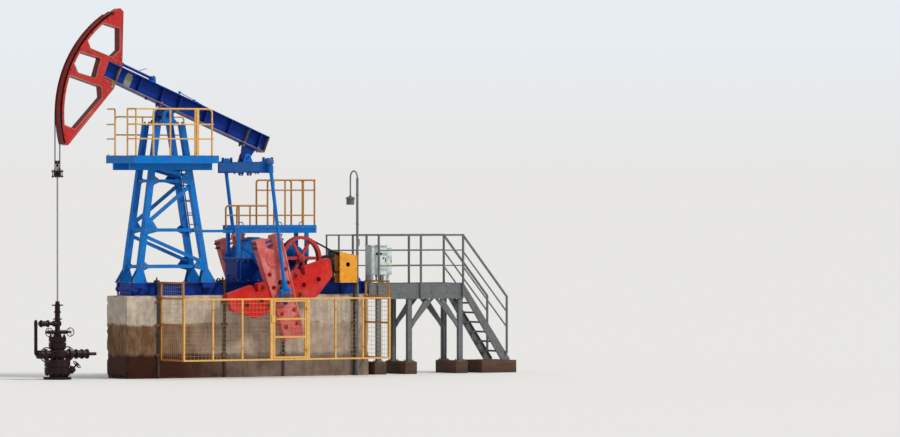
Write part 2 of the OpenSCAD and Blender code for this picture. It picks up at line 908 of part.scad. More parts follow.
module fence_gate_frame() {
    y0 = -fence_y - fence_tube / 2;
    y1 = -fence_y + fence_tube / 2;
    color("gold") {
        for (z = [fence_foot, fence_z1 - fence_tube]) {
            block([gate_left - fence_tube, y0, z], [gate_right + fence_tube, y1, z + fence_tube]);
        }
        for (x = [gate_left - fence_tube, gate_right]) {
            block([x, y0, fence_foot], [x + fence_tube, y1, fence_z1]);
        }
        for (z = hinge_zs) {
            difference() {
                union() {
                    block([hinge_x + 12, hinge_y - 6, z - 20], [gate_right + fence_tube, y0, z]);
                    z_cylinder(hinge_x, hinge_y, 16, z - 20, z);
                }
                block([hinge_x - 40, y0, z - 60], [gate_right, y1, z + 60]);
            }
            z_cylinder(hinge_x, hinge_y, 8, z - 1, z + 24);
        }
    }
}

module fence_gate() {
    x0 = gate_left + run;
    x1 = gate_right - run;
    y0 = -fence_y - fence_tube / 2;
    y1 = -fence_y + fence_tube / 2;
    z0 = fence_foot + fence_tube + run;
    z1 = fence_z1 - fence_tube - run;
    color("gold") {
        for (x = [x0, x1 - fence_tube]) {
            block([x, y0, z0], [x + fence_tube, y1, z1]);
        }
        for (share = [0, 0.36, 0.68, 1]) {
            z = mix(z0, z1 - fence_tube, share);
            block([x0, y0, z], [x1, y1, z + fence_tube]);
        }
        for (z = hinge_zs) {
            difference() {
                union() {
                    block([x1 - fence_tube, hinge_y - 6, z + 1], [hinge_x - 8, y0, z + 21]);
                    z_cylinder(hinge_x, hinge_y, 16, z + 1, z + 21);
                }
                z_cylinder(hinge_x, hinge_y, 8 + fit, z - 1, z + 30);
                block([x1, y0, z - 5], [gate_right + 40, y1, z + 30]);
            }
        }
        block([x0 - 60, y0 - 20, mix(z0, z1, 0.62)], [x0 + 30, y0, mix(z0, z1, 0.62) + 180]);
    }
}

module fence_far_front() {
    bays = 7;
    half = fence_tube / 2;
    color("gold")
        fence_bars(fence_left, fence_right,
                   [for (i = [0:bays]) mix(fence_left + half, fence_right - half, i / bays)],
                   fence_y, fence_foot, fence_z1);
}

// End panels stand off the foundation and are taller than the front
module fence_ends(side) {
    y0 = side * fence_y_in;
    y1 = side * (fence_y - fence_tube / 2);
    z1 = fence_foot + fence_end_h;
    color("gold")
        for (x = [fence_left, fence_right - fence_tube]) {
            for (y = [y0, y1 - side * fence_tube]) {
                block([x, y, fence_foot], [x + fence_tube, y + side * fence_tube, z1]);
            }
            for (z = [fence_foot, fence_foot + fence_end_h * 0.45,
                      fence_foot + fence_end_h * 0.78, z1 - fence_tube]) {
                block([x, y0, z], [x + fence_tube, y1, z + fence_tube]);
            }
        }
}

module fence_near_ends() {
    fence_ends(-1);
}

module fence_far_ends() {
    fence_ends(1);
}

// Service walkway from the skid to the stair
walk_leg_dxs = [280, 1130, 2550];

module walkway_frame() {
    half = walk_w / 2;
    color("slategray") {
        block([walk_x0, -half, walk_h - plate_t], [walk_x1, half, walk_h]);
        mirror_y()
            block([walk_x0, half - 20, walk_h - walk_edge_h], [walk_x1, half, walk_h]);
        for (dx = [0, 875, 1750, walk_l - 20]) {
            block([walk_x0 + dx, -half, walk_h - walk_edge_h + 40], [walk_x0 + dx + 20, half, walk_h]);
        }
        mirror_y()
            for (dx = walk_leg_dxs) {
                block([walk_x0 + dx - 35, half - 90, footing_h],
                      [walk_x0 + dx + 35, half - 20, walk_h - 1]);
            }
        mirror_y() {
            square_bar([walk_x0 + walk_leg_dxs[1], half - 55, walk_h - 1100],
                       [walk_x0 + walk_leg_dxs[1] + 700, half - 55, walk_h - walk_edge_h + 60], 50);
            square_bar([walk_x0 + walk_leg_dxs[2], half - 55, walk_h - 1100],
                       [walk_x0 + walk_leg_dxs[2] - 700, half - 55, walk_h - walk_edge_h + 60], 50);
        }
    }
}

module walkway_railing() {
    y = walk_w / 2 - rail_d / 2;
    post_dxs = [250, 1420, walk_l - 40];
    color("slategray")
        mirror_y() {
            for (dx = post_dxs) {
                z_post(walk_x0 + dx, y, walk_h, walk_h + walk_rail_h);
            }
            for (share = [0.33, 0.66, 1]) {
                tube_bar([walk_x0 + 228, y, walk_h + walk_rail_h * share],
                         [walk_x1 - 18, y, walk_h + walk_rail_h * share], rail_d);
            }
        }
}

stringer_t = rail_d + 8;
stair_run = tread_n * tread_go;
stair_x1 = walk_x1 + stair_run;
riser = (walk_h - footing_h) / (tread_n + 1);

module walkway_footings() {
    half = walk_w / 2;
    color("saddlebrown") {
        for (dx = walk_leg_dxs) {
            block([walk_x0 + dx - 160, -half - 60, 0], [walk_x0 + dx + 160, half + 60, footing_h]);
        }
        block([stair_x1 - 780, -half - 60, 0], [stair_x1 + 190, half + 60, footing_h]);
    }
}

// Two stringers with their handrails
stair_drop = walk_h - footing_h;
stair_rail_h = 950;

// Point over the stair's slope, share of its run and height over it
function stair_point(share, up, y) = [walk_x1 + stair_run * share, y, walk_h - stair_drop * share + up];

module stair_sides() {
    half = walk_w / 2;
    rail_y = half - stringer_t / 2;
    color("slategray")
        mirror_y() {
            xz_plate(half - stringer_t, half)
                polygon([
                    [walk_x1, walk_h], [walk_x1, walk_h - 260],
                    [stair_x1 - 190, footing_h], [stair_x1 + 40, footing_h],
                    [stair_x1 + 40, footing_h + 40]
                ]);
            for (share = [0.1, 0.5, 0.93]) {
                tube_bar(stair_point(share, -60, rail_y), stair_point(share, stair_rail_h - 5, rail_y), rail_d);
            }
            for (up = [stair_rail_h * 0.52, stair_rail_h]) {
                tube_bar(stair_point(0.06, up, rail_y), stair_point(0.97, up, rail_y), rail_d - 2);
            }
        }
}

module stair_treads() {
    half = walk_w / 2 - stringer_t;
    color("slategray")
        for (i = [1:tread_n]) {
            z = walk_h - riser * i;
            x = walk_x1 + tread_go * (i - 1);
            block([x + 10, -half, z - 35], [x + tread_go + 40, half, z]);
        }
}

// Wellhead
module wellhead_body() {
    color("darkslategray") difference() {
        wellhead_solid();
        z_cylinder(well_x, 0, 40, -1, 1081);
    }
}

module wellhead_solid() {
    union() {
        z_cylinder(well_x, 0, well_r, 0, 70);
        z_cylinder(well_x, 0, well_r * 0.62, 70, 330);
        z_cylinder(well_x, 0, well_r * 0.95, 330, 420);
        z_cylinder(well_x, 0, well_r * 0.45, 420, 760);
        x_cylinder(0, 560, 95, well_x - 330, well_x + 330);
        for (dx = [-330, 300]) {
            x_cylinder(0, 560, 150, well_x + dx, well_x + dx + 30);
        }
        z_cylinder(well_x, 0, well_r * 0.7, 760, 820);
        z_cylinder(well_x, 0, well_r * 0.4, 820, 1080);
    }
}

// Side valves with handwheels
module valve(x0, dir) {
    x_cylinder(0, 560, 75, x0, x0 + dir * 260);
    translate([x0 + dir * 130, 0, 560]) {
        cube([130, 170, 190], center = true);
        rotate([90, 0, 0]) cylinder(r = 28, h = 260);
    }
    handwheel(x0 + dir * 130, -270, 560, 150);
}

module handwheel(x, y, z, r) {
    translate([x, y, z])
        rotate([90, 0, 0]) {
            rotate_extrude() translate([r - 14, 0]) circle(r = 14);
            cylinder(r = 34, h = 30, center = true);
            for (a = [0:120:240]) {
                rotate([0, 0, a]) translate([20, -9, -8]) cube([r - 30, 18, 16]);
            }
        }
}

module wellhead_valves() {
    color("darkslategray") {
        valve(well_x - 330, -1);
        valve(well_x + 330, 1);
    }
}

// Tee and stuffing box, bored for the polished rod
module stuffing_box() {
    color("darkslategray")
        difference() {
            union() {
                z_cylinder(well_x, 0, 110, 1080, 1400);
                x_cylinder(0, 1250, 70, well_x - 330, well_x + 330);
                z_cylinder(well_x, 0, 140, 1400, 1440);
                z_cylinder(well_x, 0, 90, 1440, stuffing_top - 60);
                z_cylinder(well_x, 0, 70, stuffing_top - 60, stuffing_top);
                for (dx = [-1, 1]) {
                    x_cylinder(0, 1600, 22, well_x, well_x + dx * 210);
                }
            }
            z_cylinder(well_x, 0, rod_r + fit, 1070, stuffing_top + 1);
        }
}

// Everything that rocks with the beam is drawn level and tilted here
module on_beam() {
    translate([pivot_x, 0, pivot_z])
        rotate([0, beam_tilt, 0]) children();
}

module walking_beam() {
    z0 = beam_rise;
    z1 = beam_rise + beam_h;
    color("navy")
        on_beam() {
            translate([-beam_head_reach, 0, z0])
                rotate([90, 0, 90])
                    linear_extrude(beam_head_reach + beam_tail_reach)
                        i_profile(beam_w, beam_h, flange_t + 6, web_t + 4);
            for (x = [-beam_head_reach, -900, -260, 240, 1000, 1700, 2220, 2560]) {
                block([x, -beam_w / 2 + 6, z0 + flange_t / 2], [x + 16, beam_w / 2 - 6, z1 - flange_t / 2]);
            }
        }
}

// Head frame: box members round three openings, backed on the beam's end
module head_outline() {
    r = head_r - track_t - seat;
    intersection() {
        circle(r = r, $fn = 180);
        polygon([
            [-beam_head_reach, 30], [-beam_head_reach, beam_rise + beam_h + 20],
            [-beam_head_reach - 455, 1800], [-beam_head_reach - 595, 1865],
            [-r * cos(head_angle) - 60, r * sin(head_angle) + 20],
            [-far, far * tan(head_angle)], [-far, -far * tan(head_angle)],
            [-r * cos(head_angle) + 90, -r * sin(head_angle)]
        ]);
    }
}

module head_openings() {
    r = head_r - track_t - 75;
    intersection() {
        circle(r = r, $fn = 180);
        union() {
            polygon([[-far, 1324], [-2043, 1345], [-1839, 849], [-1911, 683], [-2445, 649], [-far, 860]]);
            polygon([[-2810, 494], [-2240, 494], [-2220, 30], [-2810, 10]]);
            polygon([[-2810, -150], [-1981, -136], [-1849, -384], [-2163, -1255], [-2810, -1275]]);
        }
    }
}

module horse_head() {
    color("red")
        on_beam()
            xz_plate(-head_w / 2, head_w / 2)
                difference() {
                    head_outline();
                    head_openings();
                }
}

// Curved track of the bridle, with the ropes that lie on it
module arc_sector(a) {
    polygon([[0, 0], [-far, far * tan(a)], [-far, -far * tan(a)]]);
}

module head_track() {
    color("maroon")
        on_beam() {
            xz_plate(-track_w / 2, track_w / 2)
                intersection() {
                    difference() {
                        circle(r = head_r, $fn = 180);
                        circle(r = head_r - track_t, $fn = 180);
                    }
                    arc_sector(head_angle);
                }
            mirror_y() rope_on_arc();
        }
}

// Rope from the head's top down to where it leaves the arc
module rope_on_arc() {
    translate([0, bridle_w / 2, 0])
        rotate([90, 0, 0])
            rotate([0, 0, 180 - head_angle + 3])
                rotate_extrude(angle = head_angle + beam_tilt - 3, $fn = 180)
                    translate([head_r + rope_r - 0.5, 0]) circle(r = rope_r);
}

module beam_strut() {
    z1 = beam_rise + beam_h;
    color("royalblue")
        on_beam() {
            tube_bar([-beam_head_reach + 60, 0, z1 + 45], [-650, 0, z1 + 45], 70);
            block([-beam_head_reach + 20, -60, z1], [-beam_head_reach + 90, 60, z1 + 90]);
            block([-680, -40, z1], [-630, 40, z1 + 75]);
        }
}

// Bearing hub under the beam and its shaft, and the tail bearing's hub
module beam_bearings() {
    color("midnightblue")
        on_beam() {
            block([-230, -130, beam_rise - 30], [230, 130, beam_rise]);
            xz_plate(-120, 120)
                polygon([[-150, beam_rise - 10], [150, beam_rise - 10], [95, 0], [-95, 0]]);
            y_cylinder(0, 0, 95, -150, 150);
            y_cylinder(0, 0, pivot_r, -320, 320);
            difference() {
                union() {
                    block([tail_reach - 220, -130, beam_rise - 30], [tail_reach + 220, 130, beam_rise]);
                    xz_plate(-95, 95)
                        polygon([
                            [tail_reach - 150, beam_rise - 10], [tail_reach + 150, beam_rise - 10],
                            [tail_reach + 85, -tail_drop], [tail_reach - 85, -tail_drop]
                        ]);
                    y_cylinder(tail_reach, -tail_drop, tail_pin_r * 2, -95, 95);
                }
                y_cylinder(tail_reach, -tail_drop, tail_pin_r + fit, -200, 200);
            }
        }
}

// Equalizer beam with lugs for the tail pin and a pin at each end
module equalizer() {
    top_x = tail_x + pitman_top_dx;
    top_z = tail_z - pitman_top_dz;
    end_y = pitman_y - pitman_d / 2 - run;
    color("dodgerblue") {
        block([tail_x - eq_w / 2, -end_y, eq_top - eq_h], [tail_x + eq_w / 2, end_y, eq_top]);
        mirror_y() {
            xz_plate(110, 150)
                polygon([
                    [tail_x - 130, eq_top - 1], [tail_x + 130, eq_top - 1],
                    [tail_x + tail_pin_r + 35, tail_z], [tail_x - tail_pin_r - 35, tail_z]
                ]);
            y_cylinder(tail_x, tail_z, tail_pin_r + 35, 110, 150);
            y_cylinder(top_x, top_z, 95, end_y - 60, end_y);
            y_cylinder(top_x, top_z, 38, end_y, pitman_y + pitman_d / 2 + 30);
        }
        y_cylinder(tail_x, tail_z, tail_pin_r, -170, 170);
    }
}

// Pitman rods from the equalizer's end pins to the crank pins
module pitman_rods() {
    top_x = tail_x + pitman_top_dx;
    top_z = tail_z - pitman_top_dz;
    y0 = pitman_y - pitman_d / 2;
    y1 = pitman_y + pitman_d / 2;
    color("dodgerblue")
        mirror_y()
            difference() {
                union() {
                    strut([top_x, pitman_y, top_z], [pin_x, pitman_y, pin_z]) circle(d = pitman_d * 0.9);
                    y_cylinder(top_x, top_z, 85, y0, y1);
                    y_cylinder(pin_x, pin_z, 125, y0, y1);
                    y_cylinder(pin_x, pin_z, 70, y1, y1 + 45);
                }
                y_cylinder(top_x, top_z, 38 + fit, y0 - 1, y1 + 1);
            }
}

// Everything that turns with the slow shaft is drawn hanging and turned here
module on_crank() {
    translate([shaft_x, 0, shaft_z])
        rotate([0, -crank_angle, 0]) children();
}

function crank_width(d) = mix(crank_half, crank_tip_half, max(0, d) / crank_reach);

module crank_profile() {
    difference() {
        polygon([
            [-crank_half, crank_back], [crank_half, crank_back], [crank_half, 0],
            [crank_tip_half, -crank_reach], [-crank_tip_half, -crank_reach], [-crank_half, 0]
        ]);
        translate([-55, shaft_r + 60]) square([110, crank_back]);
        for (d = [330:330:1650]) {
            for (side = [-1, 1]) {
                translate([side * (crank_width(d) - 120), -d]) circle(r = weight_hole_r * 0.7);
            }
        }
        for (d = [crank_throw - 330, crank_throw - 165, crank_throw + 165]) {
            translate([0, -d]) circle(r = weight_hole_r);
        }
    }
}

module crank_arms() {
    color("indianred")
        on_crank()
            mirror_y()
                difference() {
                    union() {
                        xz_plate(crank_y, crank_y + crank_t) crank_profile();
                        y_cylinder(0, 0, shaft_r + 70, crank_y - 30, crank_y + crank_t + 5);
                        y_cylinder(0, -crank_throw, 80, crank_y + crank_t - 5,
                                   pitman_y - pitman_d / 2 - run);
                    }
                    y_cylinder(0, 0, shaft_r + fit, crank_y - 40, crank_y + crank_t + 40);
                }
}

module weight_profile() {
    inner0 = crank_width(460);
    inner1 = crank_width(1120);
    difference() {
        polygon([
            [inner0, -460], [580, -440], [620, -620], [700, -620], [740, -430],
            [weight_reach - 30, -430], [weight_reach, -500], [weight_reach - 50, -860],
            [860, -1210], [700, -1210], [inner1, -1120]
        ]);
        translate([600, -843]) circle(r = weight_hole_r);
        translate([1020, -833]) circle(r = weight_hole_r);
    }
}

module counterweights() {
    y0 = crank_y + (crank_t - weight_t) / 2;
    color("red")
        on_crank()
            mirror_y()
                for (side = [0, 1]) {
                    mirror([side, 0, 0])
                        xz_plate(y0, y0 + weight_t) weight_profile();
                }
}

module crank_shaft() {
    end = crank_y + crank_t;
    color("silver")
        y_cylinder(shaft_x, shaft_z, shaft_r, -end, end);
}

// Polished rod with its clamp, carrier bar and bridle ropes
module polished_rod() {
    color("silver") {
        z_cylinder(well_x, 0, rod_r, 1100, carrier_z + 330);
        z_cylinder(well_x, 0, 55, carrier_z + 150, carrier_z + 240);
    }
}

module carrier_bar() {
    color("darkslategray")
        difference() {
            block([well_x - 60, -bridle_w / 2 - 60, carrier_z], [well_x + 60, bridle_w / 2 + 60, carrier_z + 150]);
            z_cylinder(well_x, 0, rod_r + fit, carrier_z - 1, carrier_z + 151);
        }
}

module bridle_ropes() {
    color("dimgray")
        mirror_y()
            z_cylinder(well_x, bridle_w / 2, rope_r, carrier_z + 150, pivot_z - seat);
}

foundation();
hold_down_bars();
base_skid();
tower_side(-1);  // tower_side_near
tower_side(1);  // tower_side_far
tower_cross_ties();
tower_cap();
tower_ladder();
tower_platform();
tower_railing();
gearbox_case();
gearbox_cover();
gearbox_platform();
gearbox_railing();
motor();
belt_guard();
drive_belt();
big_pulley();
control_cabinets();
lamp_post();
fence_near_left();
fence_near_right();
fence_gate_frame();
fence_near_ends();
fence_far_front();
fence_far_ends();
fence_gate();
walkway_frame();
walkway_railing();
walkway_footings();
stair_sides();
stair_treads();
wellhead_body();
wellhead_valves();
stuffing_box();
walking_beam();
horse_head();
head_track();
beam_strut();
beam_bearings();
equalizer();
pitman_rods();
crank_arms();
counterweights();
crank_shaft();
polished_rod();
carrier_bar();
bridle_ropes();
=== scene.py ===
"""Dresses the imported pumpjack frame: paint, rust, oil, bolts, wire mesh, rails and small plates."""

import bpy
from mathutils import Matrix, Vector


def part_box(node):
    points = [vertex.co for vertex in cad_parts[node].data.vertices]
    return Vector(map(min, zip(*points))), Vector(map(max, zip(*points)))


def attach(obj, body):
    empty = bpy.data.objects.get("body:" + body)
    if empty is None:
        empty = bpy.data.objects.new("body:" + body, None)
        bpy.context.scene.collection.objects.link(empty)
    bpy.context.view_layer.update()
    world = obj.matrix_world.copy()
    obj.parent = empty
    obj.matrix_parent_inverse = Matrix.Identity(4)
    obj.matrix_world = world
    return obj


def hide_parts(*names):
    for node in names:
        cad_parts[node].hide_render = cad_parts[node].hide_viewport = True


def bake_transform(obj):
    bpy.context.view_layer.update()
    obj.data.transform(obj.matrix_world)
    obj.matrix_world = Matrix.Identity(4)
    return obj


bl_info = {
    "name": "Pumpjack looks",
    "version": (1, 0, 0),
    "blender": (4, 5, 0),
    "location": "3D View > Sidebar > Pumpjack",
    "description": "Dresses the packed pumpjack with paint, bolts, mesh, rails and small plates",
    "category": "Object",
}

from math import copysign, cos, pi, radians, sin, sqrt, tan

import bmesh
import bpy
from bpy.props import FloatProperty, FloatVectorProperty, IntProperty, PointerProperty
from mathutils import Matrix, Vector, noise
from mathutils.geometry import tessellate_polygon

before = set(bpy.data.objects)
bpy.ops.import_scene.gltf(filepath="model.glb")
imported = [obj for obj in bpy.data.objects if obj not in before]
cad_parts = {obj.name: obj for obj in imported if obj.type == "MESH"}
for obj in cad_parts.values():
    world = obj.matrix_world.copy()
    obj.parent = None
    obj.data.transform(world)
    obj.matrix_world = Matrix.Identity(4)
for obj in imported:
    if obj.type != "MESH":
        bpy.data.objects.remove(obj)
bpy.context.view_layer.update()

# Directions: the well lies at -x, the far side at +y
UP, DOWN = (0, 0, 1), (0, 0, -1)
AHEAD, BACK = (1, 0, 0), (-1, 0, 0)
FAR, NEAR = (0, 1, 0), (0, -1, 0)
SIDES = (-1, 1)

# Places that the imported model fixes, in metres
FOUND_L, FOUND_W, FOUND_H = 6.54, 1.06, 1.95
HOLD_DOWN_X = (-2.44, -0.68, 0.91, 2.85)
SKID_TOP = 2.25
LEG_FRONT, LEG_BACK, LEG_TOP = 0.86, 0.97, 0.325
PIVOT = Vector((-2.02, 0.0, 6.222))
BEAM_TILT = radians(22.4)
BEAM_RISE, BEAM_H, BEAM_W = 0.18, 0.4, 0.27
BEAM_HEAD, BEAM_TAIL = -1.5, 2.78
HEAD_R = 2.79
HEAD_FACE, TRACK_FACE = 0.125, 0.145
ROPE_Y, ROPE_R = 0.125, 0.013
SHAFT = Vector((0.39, 0.0, 2.81))
CRANK_TURN = radians(17.0)
CRANK_Y, CRANK_T = 0.825, 0.2
FAST = Vector((1.35, 0.0, 2.81))
MOTOR = Vector((2.56, 0.0, 2.655))
BELT_Y = -0.6
DECK_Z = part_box("tower_platform")[1].z
DECK_X0 = PIVOT.x - 1.15
GEAR_DECK_Z = 3.53
WELL_X = PIVOT.x - HEAD_R - 0.0133
CARRIER_Z = 4.738
FENCE_Y = 1.7
FENCE_END_X = (-2.37, 3.16)
FENCE_Z0, FENCE_Z1 = 0.42, 1.89
WALK_Z = 2.18
FOOT_H = 0.3
WALK_X0, WALK_X1 = 3.32, 5.95
WALK_LEGS = (0.28, 1.13, 2.55)
WALK_RAIL_Y, WALK_RAIL_RISE, WALK_RAIL_LEVELS = 0.4645, 1.168, (0.43, 0.8)

BEAM_PLACE = Matrix.Translation(PIVOT) @ Matrix.Rotation(BEAM_TILT, 4, "Y")
CRANK_PLACE = Matrix.Translation(SHAFT) @ Matrix.Rotation(-CRANK_TURN, 4, "Y")

# Kinds of socket in the node groups
FLOAT, INT, VECTOR = "NodeSocketFloat", "NodeSocketInt", "NodeSocketVector"
COLOR, MATERIAL, GEOMETRY = "NodeSocketColor", "NodeSocketMaterial", "NodeSocketGeometry"

PALE_DUST = (0.8, 0.76, 0.72)
SMOOTH, SMOOTH_GROWN, SMOOTH_RAIL = 35.0, 30.0, 50.0
BEND_STEPS = 5
FLOOR_R = 1900.0


def tone(code):
    """A web colour as scene-linear red, green and blue."""
    out = []
    for i in (0, 2, 4):
        c = int(code[i:i + 2], 16) / 255
        out.append(c / 12.92 if c <= 0.04045 else ((c + 0.055) / 1.055) ** 2.4)
    return tuple(out)


def shade_of(label, about, code):
    return FloatVectorProperty(
        name=label, description=about, subtype="COLOR", size=3, min=0.0, max=1.0,
        default=tone(code))


def length_of(label, about, value, low, high):
    return FloatProperty(name=label, description=about, default=value, min=low, max=high,
                         subtype="DISTANCE", unit="LENGTH")


def share_of(label, about, value, high, low=0.0):
    return FloatProperty(name=label, description=about, default=value, min=low, max=high)


class PUMPJACK_PG_paint(bpy.types.PropertyGroup):
    """Colours of the finishes."""

    tower_blue: shade_of("Tower blue", "Bright blue of the tower, platforms and pitmans", "0273C8")
    skid_navy: shade_of("Skid navy", "Dark blue of the skid, beam and gearbox case", "022F8C")
    cover_blue: shade_of("Cover blue", "Blue of the gearbox cover", "0266BC")
    head_red: shade_of("Head red", "Red of the horse head", "BE3633")
    # The track's maroon is partly its own darker paint and partly painted shade of its left-facing
    # band
    band_maroon_and_shade: shade_of("Track maroon", "Dark red of the arc track, partly painted shade", "7A1817")
    weight_red: shade_of("Weight red", "Red of the counterweights", "CF201C")
    crank_pink: shade_of("Crank red", "Faded red of the cranks", "CF5C58")
    pulley_red: shade_of("Pulley red", "Red of the big pulley", "B83A3A")
    rail_yellow: shade_of("Rail yellow", "Yellow of the tower railing and fences", "E6B364")
    rail_ochre: shade_of("Rail ochre", "Brown yellow of the gearbox railing", "B97F35")
    guard_amber: shade_of("Guard amber", "Orange yellow of the belt guard", "F0A535")
    walk_grey: shade_of("Walkway grey", "Grey of the walkway and stair", "6A6F72")
    cabinet_grey: shade_of("Cabinet grey", "Pale blue grey of the switch boxes", "D6E2E1")
    iron_black: shade_of("Wellhead iron", "Oily iron of the wellhead", "22151A")
    rust: shade_of("Rust", "Rust at chips and joints", "5A2F18")
    dust: shade_of("Dust", "Desert dust on upward faces", "C3A888")
    concrete_pale: shade_of("Concrete", "Upper part of the foundation", "C6B8A8")
    concrete_brown: shade_of("Stained concrete", "Oil stained middle of the foundation", "65401F")
    concrete_dark: shade_of("Soaked concrete", "Oil soaked foot of the foundation", "38160B")


class PUMPJACK_PG_sizes(bpy.types.PropertyGroup):
    """Sizes of what is added to the frame."""

    wire_pitch: length_of(
        "Mesh pitch", "Distance between the wires of the fence mesh", 0.1, 0.02, 0.3)
    wire: length_of("Mesh wire", "Thickness of a wire of the fence mesh", 0.005, 0.002, 0.01)
    rail: length_of("Rail tube", "Diameter of the railing tubes", 0.044, 0.02, 0.06)
    bolt_flat: length_of("Bolt size", "Width of a bolt's head over its corners", 0.05, 0.01, 0.1)
    slat_pitch: length_of(
        "Grating pitch", "Distance between the bars of a grating", 0.035, 0.02, 0.1)
    fin_count: IntProperty(
        name="Motor fins", description="Number of fins round the motor", default=36, min=8, max=72)


class PUMPJACK_PG_stage(bpy.types.PropertyGroup):
    """Camera, floor and light."""

    distance: length_of(
        "Camera distance", "Camera to the middle of the foundation", 150.0, 10.0, 300.0)
    azimuth: FloatProperty(
        name="Camera azimuth", description="Turn of the camera from the side view",
        default=radians(-28.4), subtype="ANGLE")
    eye: length_of("Eye height", "Height of the camera above the ground", 4.53, 0.5, 50.0)
    lens: share_of("Lens", "Focal length in millimetres on a 36 mm sensor", 252.0, 400.0, 10.0)
    aside: length_of("Aim aside", "Middle of the frame, beside the foundation's centre", 5.03,
                     -20.0, 20.0)
    below: length_of("Aim below", "Middle of the frame, below eye height", 0.774, -20.0, 20.0)
    sun: share_of("Sun", "Strength of the soft key lamp", 2.3, 10.0)
    sky: share_of("Sky", "Strength of the even studio light", 0.55, 2.0)


# Node trees are written with one call a node
class Wiring:
    """Adds nodes to a tree and joins them."""

    def __init__(self, tree):
        self.tree = tree

    def node(self, kind, feeds=None, **settings):
        node = self.tree.nodes.new(kind)
        for key, value in settings.items():
            setattr(node, key, value)
        for key, value in (feeds or {}).items():
            self.feed(node.inputs[key], value)
        return node

    def feed(self, socket, value):
        if isinstance(value, bpy.types.NodeSocket):
            self.tree.links.new(value, socket)
        elif socket.type == "RGBA" and len(value) == 3:
            socket.default_value = (*value, 1.0)
        else:
            socket.default_value = value

    def math(self, operation, a, b=0.0, clamp=False):
        return self.node("ShaderNodeMath", {0: a, 1: b}, operation=operation,
                         use_clamp=clamp).outputs[0]

    def plus(self, a, b, clamp=False):
        return self.math("ADD", a, b, clamp)

    def minus(self, a, b):
        return self.math("SUBTRACT", a, b)

    def times(self, a, b, clamp=False):
        return self.math("MULTIPLY", a, b, clamp)

    def mix(self, share, a, b, blend="MIX"):
        return self.node("ShaderNodeMix", {0: share, 6: a, 7: b}, data_type="RGBA",
                         blend_type=blend).outputs[2]

    def step(self, value, low, high):
        return self.node("ShaderNodeMapRange", {"Value": value, "From Min": low, "From Max": high},
                         interpolation_type="SMOOTHSTEP").outputs["Result"]

    def stretch(self, vector, scale):
        return self.node("ShaderNodeMapping", {"Vector": vector, "Scale": scale}).outputs["Vector"]

    def noise(self, vector, scale, detail, rough):
        return self.node("ShaderNodeTexNoise", {
            "Vector": vector, "Scale": scale, "Detail": detail, "Roughness": rough}).outputs["Fac"]

    def place(self):
        return self.node("ShaderNodeTexCoord").outputs["Object"]

    def normal(self):
        return self.node("ShaderNodeNewGeometry").outputs["Normal"]

    def parts(self, vector):
        return self.node("ShaderNodeSeparateXYZ", {0: vector}).outputs


def shader_group(name, inputs, outputs):
    """A new shader group with its sockets, its input node and its output node."""
    tree = bpy.data.node_groups.new(name, "ShaderNodeTree")
    for label, kind, value in inputs:
        tree.interface.new_socket(label, in_out="INPUT", socket_type=kind).default_value = value
    for label, kind in outputs:
        tree.interface.new_socket(label, in_out="OUTPUT", socket_type=kind)
    w = Wiring(tree)
    return w, w.node("NodeGroupInput").outputs, w.node("NodeGroupOutput").inputs


# What a group of a finish gives
LOOK = [("Color", COLOR), ("Roughness", FLOAT), ("Height", FLOAT)]


def edge_wear_group():
    """Mask that is 1 on edges, broken up by noise."""
    w, given, out = shader_group(
        "Edge wear", [("Radius", FLOAT, 0.012), ("Breakup", FLOAT, 14.0)], [("Mask", FLOAT)])
    place = w.place()
    soft = w.node("ShaderNodeBevel", {"Radius": given["Radius"]}, samples=4).outputs["Normal"]
    hard = w.normal()
    dot = w.node("ShaderNodeVectorMath", {0: soft, 1: hard},
                 operation="DOT_PRODUCT").outputs["Value"]
    edge = w.step(w.minus(1.0, dot), 0.02, 0.16)
    broken = w.step(w.noise(place, given["Breakup"], 5.0, 0.65), 0.36, 0.62)
    w.feed(out["Mask"], w.times(edge, broken, clamp=True))
    return w.tree


